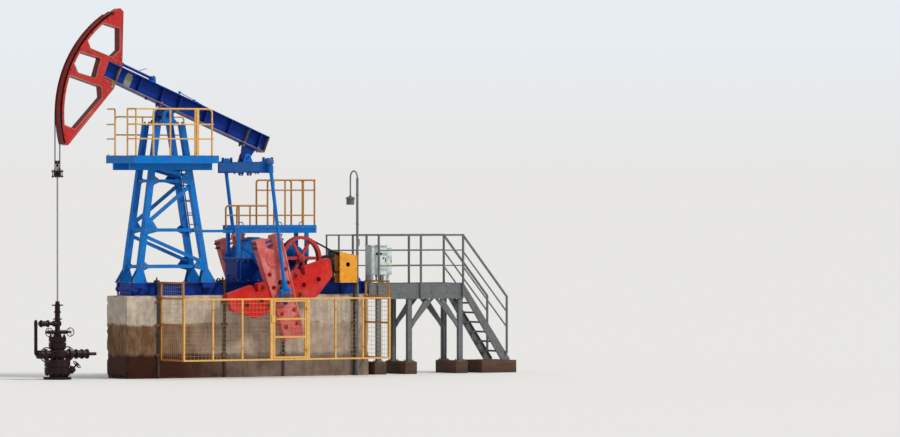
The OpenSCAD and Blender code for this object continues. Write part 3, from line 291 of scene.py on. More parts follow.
def painted_steel_group(edge_wear):
    """Sun-faded paint with chips, rust runs and dust."""
    w, given, out = shader_group("Painted steel", [
        ("Paint", COLOR, (0.5, 0.5, 0.5, 1.0)), ("Faded", COLOR, (0.6, 0.6, 0.6, 1.0)),
        ("Rust", COLOR, (0.1, 0.04, 0.02, 1.0)), ("Dust", COLOR, (0.5, 0.4, 0.3, 1.0)),
        ("Fading", FLOAT, 0.4), ("Chips", FLOAT, 0.4), ("Edges", FLOAT, 0.5), ("Runs", FLOAT, 0.3),
        ("Dusting", FLOAT, 0.4), ("Grain", FLOAT, 1.0), ("Gloss", FLOAT, 0.42)], LOOK)
    place = w.place()
    grain = w.node("ShaderNodeVectorMath", {0: place, "Scale": given["Grain"]},
                   operation="SCALE").outputs[0]
    patch = w.step(w.noise(grain, 1.7, 6.0, 0.62), 0.4, 0.66)
    fade = w.times(patch, given["Fading"], clamp=True)
    body = w.mix(fade, given["Paint"], given["Faded"])
    tint = w.step(w.noise(grain, 9.0, 5.0, 0.7), 0.25, 0.75)
    dim = w.mix(tint, (0.8, 0.8, 0.82), (1.06, 1.06, 1.04))
    body = w.mix(1.0, body, dim, "MULTIPLY")
    # Chips sit where fine noise peaks, and gather on edges
    edges = w.node("ShaderNodeGroup", node_tree=edge_wear).outputs["Mask"]
    edges = w.times(edges, given["Edges"])
    fleck = w.step(w.noise(grain, 26.0, 6.0, 0.7), 0.66, 0.72)
    flecks = w.times(fleck, given["Chips"])
    chip = w.math("MAXIMUM", flecks, edges)
    # Runs of rust and dirt hang down from the chips
    runs = w.noise(w.stretch(grain, (9.0, 9.0, 0.7)), 1.6, 4.0, 0.6)
    runs = w.times(w.step(runs, 0.52, 0.74), given["Runs"], clamp=True)
    rust_tone = w.mix(w.noise(grain, 38.0, 3.0, 0.6), given["Rust"], (0.3, 0.12, 0.045))
    body = w.mix(runs, body, w.mix(0.55, body, given["Rust"]))
    body = w.mix(chip, body, rust_tone)
    up = w.parts(w.normal())["Z"]
    settled = w.times(w.step(up, 0.35, 0.9), w.step(w.noise(grain, 5.0, 5.0, 0.7), 0.3, 0.7))
    settled = w.times(settled, given["Dusting"], clamp=True)
    body = w.mix(settled, body, given["Dust"])
    w.feed(out["Color"], body)
    rough = w.plus(given["Gloss"], w.times(w.math("MAXIMUM", chip, settled), 0.42))
    rough = w.plus(rough, w.times(fade, 0.2), clamp=True)
    w.feed(out["Roughness"], rough)
    peel = w.times(w.noise(grain, 60.0, 2.0, 0.5), 0.25)
    w.feed(out["Height"], w.minus(peel, w.times(chip, 0.6)))
    return w.tree


def stained_concrete_group():
    """Pale cast concrete over an oil stained middle and a soaked foot."""
    w, given, out = shader_group("Stained concrete", [
        ("Pale", COLOR, (0.5, 0.45, 0.4, 1.0)), ("Brown", COLOR, (0.2, 0.1, 0.05, 1.0)),
        ("Dark", COLOR, (0.03, 0.01, 0.01, 1.0)), ("Middle", FLOAT, 1.27), ("Foot", FLOAT, 0.56),
        ("Clean End", FLOAT, 0.2)], LOOK)
    place = w.place()
    xyz = w.parts(place)
    wobble = w.times(w.minus(w.noise(place, 2.4, 6.0, 0.65), 0.5), 0.26)
    height = w.plus(xyz["Z"], wobble)
    blotch = w.step(w.noise(place, 5.0, 7.0, 0.7), 0.3, 0.7)
    pale = w.mix(1.0, given["Pale"], w.mix(blotch, (0.72, 0.7, 0.68), (1.06, 1.06, 1.06)),
                 "MULTIPLY")
    # Runs down the face, darker to the well's side
    runs = w.step(w.noise(w.stretch(place, (8.0, 8.0, 0.9)), 1.5, 5.0, 0.6), 0.42, 0.72)
    pale = w.mix(w.times(runs, 0.3), pale, given["Brown"])
    towards_well = w.step(w.plus(xyz["X"], w.times(wobble, 4.0)), given["Clean End"], -2.2)
    brown = w.mix(w.step(w.noise(w.stretch(place, (3.0, 3.0, 1.2)), 2.2, 6.0, 0.7), 0.36, 0.7),
                  given["Brown"], w.mix(0.22, given["Brown"], given["Pale"]))
    stain = w.minus(
        1.0, w.step(height, w.minus(given["Middle"], 0.05), w.plus(given["Middle"], 0.03)))
    weak = w.times(stain, w.plus(0.24, w.times(towards_well, 0.72)))
    body = w.mix(weak, pale, brown)
    foot = w.minus(1.0, w.step(height, w.minus(given["Foot"], 0.06), w.plus(given["Foot"], 0.05)))
    foot = w.times(foot, w.plus(0.55, w.times(towards_well, 0.42)))
    body = w.mix(foot, body, given["Dark"])
    # A dark pour line, broken, at the top of the stain
    line = w.math("ABSOLUTE", w.minus(height, given["Middle"]))
    line = w.times(w.minus(1.0, w.step(line, 0.008, 0.03)),
                   w.step(w.noise(place, 3.1, 5.0, 0.6), 0.5, 0.62))
    body = w.mix(w.times(line, 0.55), body, given["Dark"])
    pits = w.node("ShaderNodeTexVoronoi", {"Vector": place, "Scale": 22.0}).outputs["Distance"]
    pit = w.minus(1.0, w.step(pits, 0.05, 0.16))
    pit = w.times(pit, w.step(w.noise(place, 4.0, 3.0, 0.5), 0.52, 0.6))
    body = w.mix(w.times(pit, 0.5), body, given["Dark"])
    w.feed(out["Color"], body)
    wet = w.times(foot, 0.35)
    w.feed(out["Roughness"], w.minus(0.92, wet))
    rough = w.times(w.noise(place, 34.0, 6.0, 0.7), 0.5)
    w.feed(out["Height"], w.minus(rough, w.times(pit, 0.8)))
    return w.tree


def rope_lay_group():
    """Strands that wind round an upright rope."""
    w, given, out = shader_group(
        "Rope lay", [("Steel", COLOR, (0.2, 0.2, 0.2, 1.0)), ("Pitch", FLOAT, 40.0)],
        [("Color", COLOR), ("Height", FLOAT)])
    place = w.place()
    xyz = w.parts(place)
    along = w.times(w.plus(w.plus(xyz["X"], xyz["Y"]), xyz["Z"]), given["Pitch"])
    wave = w.math("ABSOLUTE", w.minus(w.math("FRACT", along), 0.5))
    w.feed(out["Color"], w.mix(w.step(wave, 0.1, 0.5), given["Steel"], (0.02, 0.015, 0.012)))
    w.feed(out["Height"], wave)
    return w.tree


FINISHES = {}


def surface(name, group, values, bump, bump_size, metallic=0.0, **shader):
    """A material whose colour, roughness and height come from one group."""
    material = bpy.data.materials.new(name)
    material.use_nodes = True
    tree = material.node_tree
    tree.nodes.clear()
    w = Wiring(tree)
    made = w.node("ShaderNodeGroup", node_tree=group)
    for key, value in values.items():
        w.feed(made.inputs[key], value)
    feeds = {"Base Color": made.outputs["Color"], "Metallic": metallic}
    if "Roughness" in made.outputs:
        feeds["Roughness"] = made.outputs["Roughness"]
    relief = w.node("ShaderNodeBump", {
        "Strength": bump, "Distance": bump_size, "Height": made.outputs["Height"]})
    feeds["Normal"] = relief.outputs["Normal"]
    feeds.update(shader)
    principled = w.node("ShaderNodeBsdfPrincipled", feeds)
    w.node("ShaderNodeOutputMaterial", {"Surface": principled.outputs["BSDF"]})
    material.diffuse_color = (*values.get("Paint", values.get("Pale", (0.3, 0.3, 0.3)))[:3], 1.0)
    FINISHES[name] = material


def paler(colour, share):
    return tuple(c + (t - c) * share for c, t in zip(colour, PALE_DUST))


def build_finishes():
    """Every finish, from the colours of the panel."""
    p = bpy.context.scene.pumpjack_paint
    paint_group = painted_steel_group(edge_wear_group())
    concrete_group = stained_concrete_group()

    def steel(name, paint, fading=0.35, chips=0.35, edges=0.5, runs=0.3, dusting=0.35, gloss=0.42,
              faded=None, grain=1.0, bump=0.22, **more):
        paint = tuple(paint)
        values = {"Paint": paint, "Faded": faded or paler(paint, 0.07), "Rust": tuple(p.rust),
                  "Dust": tuple(p.dust), "Fading": fading, "Chips": chips, "Edges": edges,
                  "Runs": runs, "Dusting": dusting, "Gloss": gloss, "Grain": grain}
        surface(name, paint_group, values, bump=bump, bump_size=0.004,
                **{"Specular IOR Level": 0.14, **more})

    steel("tower blue", p.tower_blue, 0.2, 0.25, 0.35, 0.15, 0.15)
    steel("skid navy", p.skid_navy, 0.3, 0.22, 0.35, 0.15, 0.2, faded=tone("12468F"))
    steel("cover blue", p.cover_blue, 0.2, 0.2, 0.25, 0.15, 0.15)
    steel("head lip", tone("B9706A"), 0.7, 0.55, 0.5, 0.3, 0.3, faded=tone("C9A294"))
    # A darker copy of the tower blue: painted shade of the equalizer's left face
    steel("equalizer shade blue", tone("074CA6"), 0.15, 0.22, 0.35, 0.12, 0.1)
    steel("gusset red", tone("C22D2C"), 0.3, 0.3, 0.45, 0.2, 0.1)
    steel("bare primer", tone("8F9486"), 0.6, 0.3, 0.2, 0.3, 0.1, faded=tone("B5AA8A"))
    steel("head red", p.head_red, 0.55, 0.35, 0.45, 0.25, 0.15)
    # Darker than the head red, partly as painted shade of the arc track
    steel("track maroon and shade", p.band_maroon_and_shade, 0.1, 0.2, 0.35, 0.15, 0.06)
    steel("weight red", p.weight_red, 0.35, 0.3, 0.85, 0.2, 0.2, faded=paler(p.weight_red, 0.16))
    steel("crank red", p.crank_pink, 0.85, 0.55, 0.7, 0.45, 0.3, faded=tone("E08480"), grain=1.6)
    steel("pulley red", p.pulley_red, 0.55, 0.4, 0.5, 0.25, 0.2)
    steel("rail yellow", p.rail_yellow, 0.35, 0.75, 0.7, 0.55, 0.2, grain=1.5)
    steel("rail ochre", p.rail_ochre, 0.45, 0.9, 0.8, 0.7, 0.2, grain=1.5)
    steel("guard amber", p.guard_amber, 0.3, 0.22, 0.4, 0.2, 0.2)
    steel("walkway grey", p.walk_grey, 0.4, 0.3, 0.45, 0.4, 0.45)
    steel("cabinet grey", p.cabinet_grey, 0.15, 0.12, 0.25, 0.12, 0.15, gloss=0.35)
    steel("motor grey", tone("3C4248"), 0.3, 0.35, 0.4, 0.35, 0.55)
    steel("lamp grey", tone("6E7377"), 0.45, 0.4, 0.3, 0.4, 0.2)
    steel("tie bar steel", tone("3A3430"), 0.45, 0.75, 0.4, 0.6, 0.2, faded=tone("5E5146"))
    steel("wellhead iron", p.iron_black, 0.55, 0.2, 0.25, 0.45, 0.12, gloss=0.38,
          faded=tone("33201C"))
    steel("bare edge", tone("A08C74"), 0.8, 0.9, 0.6, 0.55, 0.2, faded=tone("6B4E3A"))
    steel("bolt steel", tone("8E867A"), 0.4, 0.7, 0.5, 0.4, 0.2, gloss=0.48, metallic=0.55)
    steel("bright steel", tone("A8A6A2"), 0.2, 0.15, 0.1, 0.25, 0.05, gloss=0.25, metallic=0.9,
          bump=0.1)
    steel("rusty steel", tone("6B4026"), 0.7, 0.7, 0.3, 0.5, 0.25, faded=tone("8F6440"))
    steel("mesh wire", tone("B9A684"), 0.45, 0.6, 0.0, 0.3, 0.0, faded=tone("8A7350"))
    steel("dark knob", tone("17181A"), 0.2, 0.1, 0.2, 0.0, 0.25, gloss=0.35)
    steel("tag yellow", tone("E6DA3C"), 0.2, 0.1, 0.1, 0.1, 0.05, gloss=0.4)
    steel("belt rubber", tone("151415"), 0.35, 0.15, 0.3, 0.0, 0.35, gloss=0.62,
          faded=tone("2E2B29"))
    steel("lamp glass", tone("D6DAD6"), 0.2, 0.0, 0.0, 0.2, 0.1, gloss=0.12)
    surface("foundation concrete", concrete_group,
            {"Pale": tuple(p.concrete_pale), "Brown": tuple(p.concrete_brown),
             "Dark": tuple(p.concrete_dark)}, bump=0.5, bump_size=0.012,
            **{"Specular IOR Level": 0.15})
    surface("footing concrete", concrete_group, {
        "Pale": tone("5B4231"), "Brown": tone("40281B"), "Dark": tone("26140D"), "Middle": 0.22,
        "Foot": 0.1}, bump=0.5, bump_size=0.012)
    surface("wire rope", rope_lay_group(), {"Steel": tone("4A4644"), "Pitch": 28.0}, bump=0.5,
            bump_size=0.004, metallic=0.6, Roughness=0.5)


# Finish of each node of the frame that shows as it is
NODE_FINISH = {
    "foundation concrete": "foundation",
    "footing concrete": "walkway_footings",
    "tie bar steel": "hold_down_bars",
    "skid navy": "base_skid gearbox_case walking_beam beam_strut beam_bearings",
    "tower blue": "tower_side_near tower_side_far tower_cross_ties tower_cap tower_ladder "
                  "tower_platform gearbox_platform equalizer pitman_rods",
    "cover blue": "gearbox_cover",
    "rail yellow": "tower_railing fence_near_left fence_near_right fence_gate_frame "
                   "fence_far_front fence_gate",
    "rail ochre": "gearbox_railing fence_near_ends fence_far_ends",
    "motor grey": "motor",
    "guard amber": "belt_guard",
    "belt rubber": "drive_belt",
    "pulley red": "big_pulley",
    "cabinet grey": "control_cabinets",
    "lamp grey": "lamp_post",
    "walkway grey": "walkway_frame walkway_railing stair_sides stair_treads",
    "wellhead iron": "wellhead_body wellhead_valves stuffing_box carrier_bar",
    "head red": "horse_head",
    "track maroon and shade": "head_track",
    "crank red": "crank_arms",
    "weight red": "counterweights",
    "bright steel": "crank_shaft polished_rod",
    "wire rope": "bridle_ropes",
}


def linked(name, data):
    """A new object in the scene."""
    piece = bpy.data.objects.new(name, data)
    bpy.context.scene.collection.objects.link(piece)
    return piece


def dress(piece, finish, smooth):
    """Gives a piece its finish, and keeps edges sharp above an angle."""
    piece.data.materials.clear()
    piece.data.materials.append(FINISHES[finish])
    piece.data.shade_smooth()
    piece.data.set_sharp_from_angle(angle=radians(smooth))


def settle(piece, body):
    """Lets a piece ride on its body, where it has one."""
    if body:
        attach(piece, body)
    return piece


def turns(count, start=0.0):
    """Cosine and sine of even steps round a circle."""
    return [(cos(start + 2 * pi * i / count), sin(start + 2 * pi * i / count))
            for i in range(count)]


def axes_at(centre, axis):
    """A point, the axis through it, and two directions square to the axis."""
    axis = Vector(axis).normalized()
    side = axis.cross(Vector(UP if abs(axis.z) < 0.9 else AHEAD)).normalized()
    return Vector(centre), axis, side, axis.cross(side)


class Shape:
    """Gathers the faces of one piece, drawn where it belongs or under a turned place."""

    def __init__(self, place=None):
        self.mesh = bmesh.new()
        self.place = place or Matrix.Identity(4)

    def loop(self, points):
        return [self.mesh.verts.new(self.place @ Vector(p)) for p in points]

    def bridge(self, low, high):
        count = len(low)
        for i in range(count):
            j = (i + 1) % count
            self.mesh.faces.new((low[i], low[j], high[j], high[i]))

    def skin(self, rings, ends=True):
        """Bridges a row of rings and closes its ends."""
        for one, two in zip(rings, rings[1:]):
            self.bridge(one, two)
        if ends:
            self.mesh.faces.new(rings[0][::-1])
            self.mesh.faces.new(rings[-1])

    def box(self, a, b, soft=0.0):
        """A box between two corners, its edges eased by soft."""
        x0, y0, z0 = (min(p, q) for p, q in zip(a, b))
        x1, y1, z1 = (max(p, q) for p, q in zip(a, b))
        before = set(self.mesh.edges)
        self.skin(
            [self.loop([(x0, y0, z), (x1, y0, z), (x1, y1, z), (x0, y1, z)]) for z in (z0, z1)])
        if soft:
            fresh = [e for e in self.mesh.edges if e not in before]
            bmesh.ops.bevel(self.mesh, geom=fresh, offset=soft, segments=2, profile=0.6,
                            affect="EDGES", clamp_overlap=True)

    def plate(self, outline, y0, y1, holes=()):
        """An outline of (x, z) points, with holes, given thickness along y."""
        loops = [list(outline)] + [list(h) for h in holes]
        low, high = [[self.loop([(p[0], y, p[1]) for p in one]) for one in loops] for y in (y0, y1)]
        lows, highs = [[v for one in level for v in one] for level in (low, high)]
        for tri in tessellate_polygon([[Vector((p[0], p[1], 0.0)) for p in one] for one in loops]):
            self.mesh.faces.new([lows[i] for i in tri])
            self.mesh.faces.new([highs[i] for i in reversed(tri)])
        for one_low, one_high in zip(low, high):
            self.bridge(one_low, one_high)

    def turned(self, centre, axis, profile, steps=24, open_ends=False):
        """A profile of (distance along, radius) turned about an axis."""
        base, along, side, up = axes_at(centre, axis)
        self.skin([self.loop([base + along * t + (side * c + up * s) * r
                              for c, s in turns(steps)]) for t, r in profile], not open_ends)

    def rod(self, centre, axis, length, radius, steps):
        """A round bar from a point along an axis."""
        self.turned(centre, axis, [(0, radius), (length, radius)], steps)

    def ring(self, centre, axis, radius, thick, steps=28, sides=8):
        """A round bar bent into a closed ring."""
        base, along, side, up = axes_at(centre, axis)
        rings = []
        for c, s in turns(steps):
            out = side * c + up * s
            rings.append(self.loop([base + out * (radius + thick * p) + along * thick * q
                                    for p, q in turns(sides)]))
        self.skin(rings + rings[:1], False)

    def tube(self, points, radius, sides=10, bend=0.0):
        """A round bar through the points, its corners bent to a radius."""
        path = rounded(points, bend) if bend else [Vector(p) for p in points]
        rings = []
        side = None
        for i, p in enumerate(path):
            before = (p - path[i - 1]).normalized() if i else None
            after = (path[i + 1] - p).normalized() if i < len(path) - 1 else None
            along = ((before or after) + (after or before)).normalized()
            if side is None:
                side = axes_at(p, along)[2]
            side = (side - along * side.dot(along)).normalized()
            up = along.cross(side)
            spread = 1.0
            if before and after:
                spread = 1.0 / max(0.5, sqrt((1 + before.dot(after)) / 2))
            rings.append(
                self.loop([p + (side * c + up * s) * radius * spread for c, s in turns(sides)]))
        self.skin(rings)

    def bar(self, a, b, width, depth=None):
        """A square bar from a to b."""
        a, b = Vector(a), Vector(b)
        _, _, side, up = axes_at(a, b - a)
        side, up = side * (width / 2), up * ((depth or width) / 2)
        corners = ((-1, -1), (1, -1), (1, 1), (-1, 1))
        self.skin([self.loop([end + side * s + up * t for s, t in corners]) for end in (a, b)])

    def data(self, name):
        """What was gathered, as mesh data."""
        bmesh.ops.recalc_face_normals(self.mesh, faces=self.mesh.faces)
        data = bpy.data.meshes.new(name)
        self.mesh.to_mesh(data)
        self.mesh.free()
        return data

    def finish(self, name, body, finish, slot, smooth=SMOOTH):
        """Turns what was gathered into one named piece that rides on a body."""
        piece = linked(name, self.data(name))
        dress(piece, finish, smooth)
        return settle(piece, body)


def rounded(points, bend):
    """A path whose inner corners are arcs."""
    points = [Vector(p) for p in points]
    path = [points[0]]
    for a, b, c in zip(points, points[1:], points[2:]):
        into, out = (a - b).normalized(), (c - b).normalized()
        corner = into.angle(out)
        if abs(corner - pi) < 1e-3:
            path.append(b)
            continue
        reach = min(bend / tan(corner / 2), (a - b).length * 0.48, (c - b).length * 0.48)
        radius = reach * tan(corner / 2)
        middle = b + (into + out).normalized() * (radius / sin(corner / 2))
        start, end = b + into * reach - middle, b + out * reach - middle
        turn = start.angle(end)
        axis = start.cross(end).normalized()
        for k in range(BEND_STEPS + 1):
            path.append(middle + Matrix.Rotation(turn * k / BEND_STEPS, 3, axis) @ start)
    path.append(points[-1])
    return path


# Geometry Nodes for what repeats
def geometry_tree(name, inputs):
    """A new geometry group that takes geometry, its sizes and a finish."""
    tree = bpy.data.node_groups.new(name, "GeometryNodeTree")
    tree.interface.new_socket("Geometry", in_out="INPUT", socket_type=GEOMETRY)
    for label, kind, value in inputs:
        tree.interface.new_socket(label, in_out="INPUT", socket_type=kind).default_value = value
    tree.interface.new_socket("Finish", in_out="INPUT", socket_type=MATERIAL)
    tree.interface.new_socket("Geometry", in_out="OUTPUT", socket_type=GEOMETRY)
    w = Wiring(tree)
    return w, w.node("NodeGroupInput").outputs


def end_tree(w, given, geometry):
    """Realizes what a tree made and gives it the finish."""
    real = w.node("GeometryNodeRealizeInstances", {"Geometry": geometry})
    done = w.node("GeometryNodeSetMaterial", {
        "Geometry": real.outputs[0], "Material": given["Finish"]})
    w.node("NodeGroupOutput", {"Geometry": done.outputs[0]})
    return w.tree


def bolt_tree():
    """Hexagon heads with washers on the vertices given, along their axis attribute."""
    w, given = geometry_tree(
        "Bolts at places", [("Head", FLOAT, 0.05), ("Height", FLOAT, 0.025), ("Stud", FLOAT, 0.03)])
    radius = w.times(given["Head"], 0.5)

    def drum(sides, wide, deep):
        return w.node("GeometryNodeMeshCylinder", {
            "Vertices": sides, "Radius": wide, "Depth": deep}).outputs["Mesh"]

    def raised(mesh, rise):
        lift = w.node("ShaderNodeCombineXYZ", {2: rise}).outputs[0]
        return w.node(
            "GeometryNodeTransform", {"Geometry": mesh, "Translation": lift}).outputs["Geometry"]

    head = raised(drum(6, radius, given["Height"]), w.times(given["Height"], 0.62))
    washer = drum(14, w.times(radius, 1.28), w.times(given["Height"], 0.3))
    stud = raised(drum(8, w.times(radius, 0.5), given["Stud"]), w.times(given["Stud"], 0.5))
    whole = w.node("GeometryNodeJoinGeometry")
    for part in (stud, head, washer):
        w.tree.links.new(part, whole.inputs[0])
    axis = w.node("GeometryNodeInputNamedAttribute", {"Name": "axis"}, data_type="FLOAT_VECTOR")
    turn = w.node("FunctionNodeAlignRotationToVector", {"Vector": axis.outputs[0]}, axis="Z")
    placed = w.node("GeometryNodeInstanceOnPoints", {
        "Points": given["Geometry"], "Instance": whole.outputs[0], "Rotation": turn.outputs[0]})
    return end_tree(w, given, placed.outputs[0])


def wire_tree():
    """Square wires along every edge given."""
    w, given = geometry_tree("Wires on edges", [("Wire", FLOAT, 0.005), ("Sides", INT, 4)])
    line = w.node("GeometryNodeMeshToCurve", {0: given["Geometry"]})
    section = w.node("GeometryNodeCurvePrimitiveCircle",
                     {"Resolution": given["Sides"], "Radius": w.times(given["Wire"], 0.5)})
    wires = w.node("GeometryNodeCurveToMesh", {
        "Curve": line.outputs[0], "Profile Curve": section.outputs[0], "Fill Caps": True})
    return end_tree(w, given, wires.outputs[0])


def row_tree():
    """Copies of the given piece in a row."""
    w, given = geometry_tree(
        "Row of copies", [("Count", INT, 10), ("Step", VECTOR, (0.05, 0.0, 0.0))])
    line = w.node("GeometryNodeMeshLine", {"Count": given["Count"], "Offset": given["Step"]},
                  mode="OFFSET")
    placed = w.node("GeometryNodeInstanceOnPoints",
                    {"Points": line.outputs[0], "Instance": given["Geometry"]})
    return end_tree(w, given, placed.outputs[0])


def wheel_tree():
    """Copies of the given piece round an axis along Y through a centre."""
    w, given = geometry_tree(
        "Copies round an axis", [("Count", INT, 8), ("Centre", VECTOR, (0.0, 0.0, 0.0))])
    line = w.node("GeometryNodeMeshLine", {"Count": given["Count"], "Offset": (0.0, 0.0, 0.0)},
                  mode="OFFSET")
    moved = w.node(
        "GeometryNodeSetPosition", {"Geometry": line.outputs[0], "Position": given["Centre"]})
    share = w.math("DIVIDE", w.node("GeometryNodeInputIndex").outputs[0], given["Count"])
    turn = w.node("ShaderNodeCombineXYZ", {1: w.times(share, 2 * pi)}).outputs[0]
    placed = w.node("GeometryNodeInstanceOnPoints",
                    {"Points": moved.outputs[0], "Instance": given["Geometry"], "Rotation": turn})
    return end_tree(w, given, placed.outputs[0])


TREES = {}


def grown(name, data, tree, values, body, finish):
    """Runs a geometry tree on a mesh and keeps its result as a plain piece."""
    seed = linked(name + "_seed", data)
    modifier = seed.modifiers.new("grow", "NODES")
    modifier.node_group = TREES[tree]
    names = {s.name: s.identifier for s in TREES[tree].interface.items_tree
             if s.item_type == "SOCKET" and s.in_out == "INPUT"}
    for key, value in values.items():
        modifier[names[key]] = value
    modifier[names["Finish"]] = FINISHES[finish]
    bpy.context.view_layer.update()
    graph = bpy.context.evaluated_depsgraph_get()
    result = bpy.data.meshes.new_from_object(seed.evaluated_get(graph))
    result.name = name
    bpy.data.objects.remove(seed)
    piece = linked(name, result)
    dress(piece, finish, SMOOTH_GROWN)
    return settle(piece, body)


def bolts(name, places, body, size, height, stud, finish="bolt steel", place=None):
    """Bolts on places, each a point and the way its head looks."""
    place = place or Matrix.Identity(4)
    data = bpy.data.meshes.new(name)
    data.from_pydata([place @ Vector(p) for p, _ in places], [], [])
    axis = data.attributes.new("axis", "FLOAT_VECTOR", "POINT")
    turned = [place.to_3x3() @ Vector(a) for _, a in places]
    axis.data.foreach_set("vector", [c for v in turned for c in v])
    values = {"Head": size, "Height": height, "Stud": stud}
    return grown(name, data, "bolts", values, body, finish)


def wires(name, lines, body, wire):
    """Straight wires, each a pair of points."""
    data = bpy.data.meshes.new(name)
    points = [p for pair in lines for p in pair]
    data.from_pydata(points, [(2 * i, 2 * i + 1) for i in range(len(lines))], [])
    return grown(name, data, "wires", {"Wire": wire, "Sides": 4}, body, "mesh wire")


def row(name, shape, count, step, finish):
    """A shape of the frame repeated in a row along x."""
    values = {"Count": count, "Step": (step, 0.0, 0.0)}
    return grown(name, shape.data(name), "row", values, "frame", finish)


def wheel(name, shape, count, centre, finish):
    """A shape of the frame, drawn about the origin, repeated round an axis along Y."""
    values = {"Count": count, "Centre": centre}
    return grown(name, shape.data(name), "wheel", values, "frame", finish)


def oblong(x0, x1, z0, z1):
    """Outline of a rectangle."""
    return [(x0, z0), (x1, z0), (x1, z1), (x0, z1)]


def circle(x, z, r, steps=20):
    """Outline of a disc or a round hole."""
    return [(x + r * c, z + r * s) for c, s in turns(steps)]


def both_sides(places):
    """Bolt places on the far side, and their mirror images on the near side."""
    return places + [((p[0], -p[1], p[2]), (a[0], -a[1], a[2])) for p, a in places]


def span(a, b, step):
    """Even stations from a to b, about a step apart."""
    count = max(1, round(abs(b - a) / step))
    return [a + (b - a) * i / count for i in range(count + 1)]


def round_places(centre, axis, radius, count, start=0.0):
    """Bolt places on a circle about an axis."""
    base, along, side, up = axes_at(centre, axis)
    return [(tuple(base + (side * c + up * s) * radius), tuple(along))
            for c, s in turns(count, start)]


def set_stage(context):
    s = context.scene.pumpjack_stage
    scene = context.scene
    scene.view_settings.view_transform = "Standard"
    floor = linked("floor", bpy.data.meshes.new("floor"))
    mesh = bmesh.new()
    bmesh.ops.create_circle(mesh, cap_ends=True, segments=96, radius=FLOOR_R)
    mesh.to_mesh(floor.data)
    mesh.free()
    pale = bpy.data.materials.new("pale floor")
    pale.use_nodes = True
    shader = pale.node_tree.nodes["Principled BSDF"]
    shader.inputs["Base Color"].default_value = (0.8, 0.79, 0.77, 1.0)
    shader.inputs["Roughness"].default_value = 0.9
    floor.data.materials.append(pale)

    # The camera sees a pale sky, and the object is lit by an even one
    world = bpy.data.worlds.new("studio")
    scene.world = world
    world.use_nodes = True
    world.node_tree.nodes.clear()
    w = Wiring(world.node_tree)
    shown = w.node("ShaderNodeLightPath").outputs["Is Camera Ray"]
    even = w.node("ShaderNodeBackground", {"Color": (0.92, 0.96, 1.0), "Strength": s.sky})
    height = w.parts(w.node("ShaderNodeTexCoord").outputs["Generated"])["Z"]
    sky = w.mix(w.step(height, -0.004, 0.03), (0.8, 0.79, 0.775), (0.8, 0.85, 0.89))
    behind = w.node("ShaderNodeBackground", {"Color": sky, "Strength": 1.0})
    both = w.node("ShaderNodeMixShader", {0: shown, 1: even.outputs[0], 2: behind.outputs[0]})
    w.node("ShaderNodeOutputWorld", {"Surface": both.outputs[0]})

    sun = linked("key", bpy.data.lights.new("key", "SUN"))
    sun.data.energy = s.sun
    sun.data.angle = radians(12)
    sun.data.color = (1.0, 0.96, 0.9)
    sun.rotation_euler = Vector((0.62, -0.72, 0.95)).to_track_quat("Z", "Y").to_euler()

    eye = Vector((sin(s.azimuth), -cos(s.azimuth), 0.0)) * s.distance + Vector((0, 0, s.eye))
    right = Vector((cos(s.azimuth), sin(s.azimuth), 0.0))
    aim = right * s.aside + Vector((0, 0, s.eye - s.below))
    camera = linked("camera", bpy.data.cameras.new("camera"))
    camera.data.lens = s.lens
    camera.data.sensor_width = 36.0
    camera.data.clip_end = 2000.0
    camera.location = eye
    camera.rotation_euler = (aim - eye).to_track_quat("-Z", "Y").to_euler()
    scene.camera = camera


def paint_frame():
    build_finishes()
    TREES.update(bolts=bolt_tree(), wires=wire_tree(), row=row_tree(), wheel=wheel_tree())
    for finish, nodes in NODE_FINISH.items():
        for node in nodes.split():
            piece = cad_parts[node]
            piece.data.materials.clear()
            piece.data.materials.append(FINISHES[finish])


def weld_fence_mesh(context):
    size = context.scene.pumpjack_sizes
    pitch, wire = size.wire_pitch, size.wire
    half_tube = 0.02
    z0, z1 = FENCE_Z0 + half_tube, FENCE_Z1 - half_tube

    def grid(a, b, low, high, across):
        """Lines of one upright panel between two plan points."""
        a, b = Vector((*a, 0.0)), Vector((*b, 0.0))
        along, aside = (b - a).normalized(), Vector(across) * wire
        lines = []
        for d in span(0.0, (b - a).length, pitch)[1:-1]:
            p = a + along * d
            lines.append((p + Vector((0, 0, low)), p + Vector((0, 0, high))))
        for z in span(low, high, pitch)[1:-1]:
            lines.append((a + aside + Vector((0, 0, z)), b + aside + Vector((0, 0, z))))
        return lines

    def panel(name, x0, x1, side, low, high, body="frame"):
        y = side * FENCE_Y
        wires(name, grid((x0, y), (x1, y), low, high, (0, side, 0)), body, wire)

    panel("mesh_near_left", -2.39, -0.04, -1, z0, z1)
    panel("mesh_near_right", 0.94, 3.18, -1, z0, z1)
    panel("mesh_far_front", -2.39, 3.18, 1, z0, z1)
    for side, name in zip(SIDES, ("near", "far")):
        lines = []
        for x in FENCE_END_X:
            lines += grid((x, side * 0.55), (x, side * 1.66), 0.44, 2.26, AHEAD)
        wires("mesh_%s_ends" % name, lines, "frame", wire)
    panel("mesh_gate", 0.03, 0.87, -1, 0.49, 1.82, "gate")


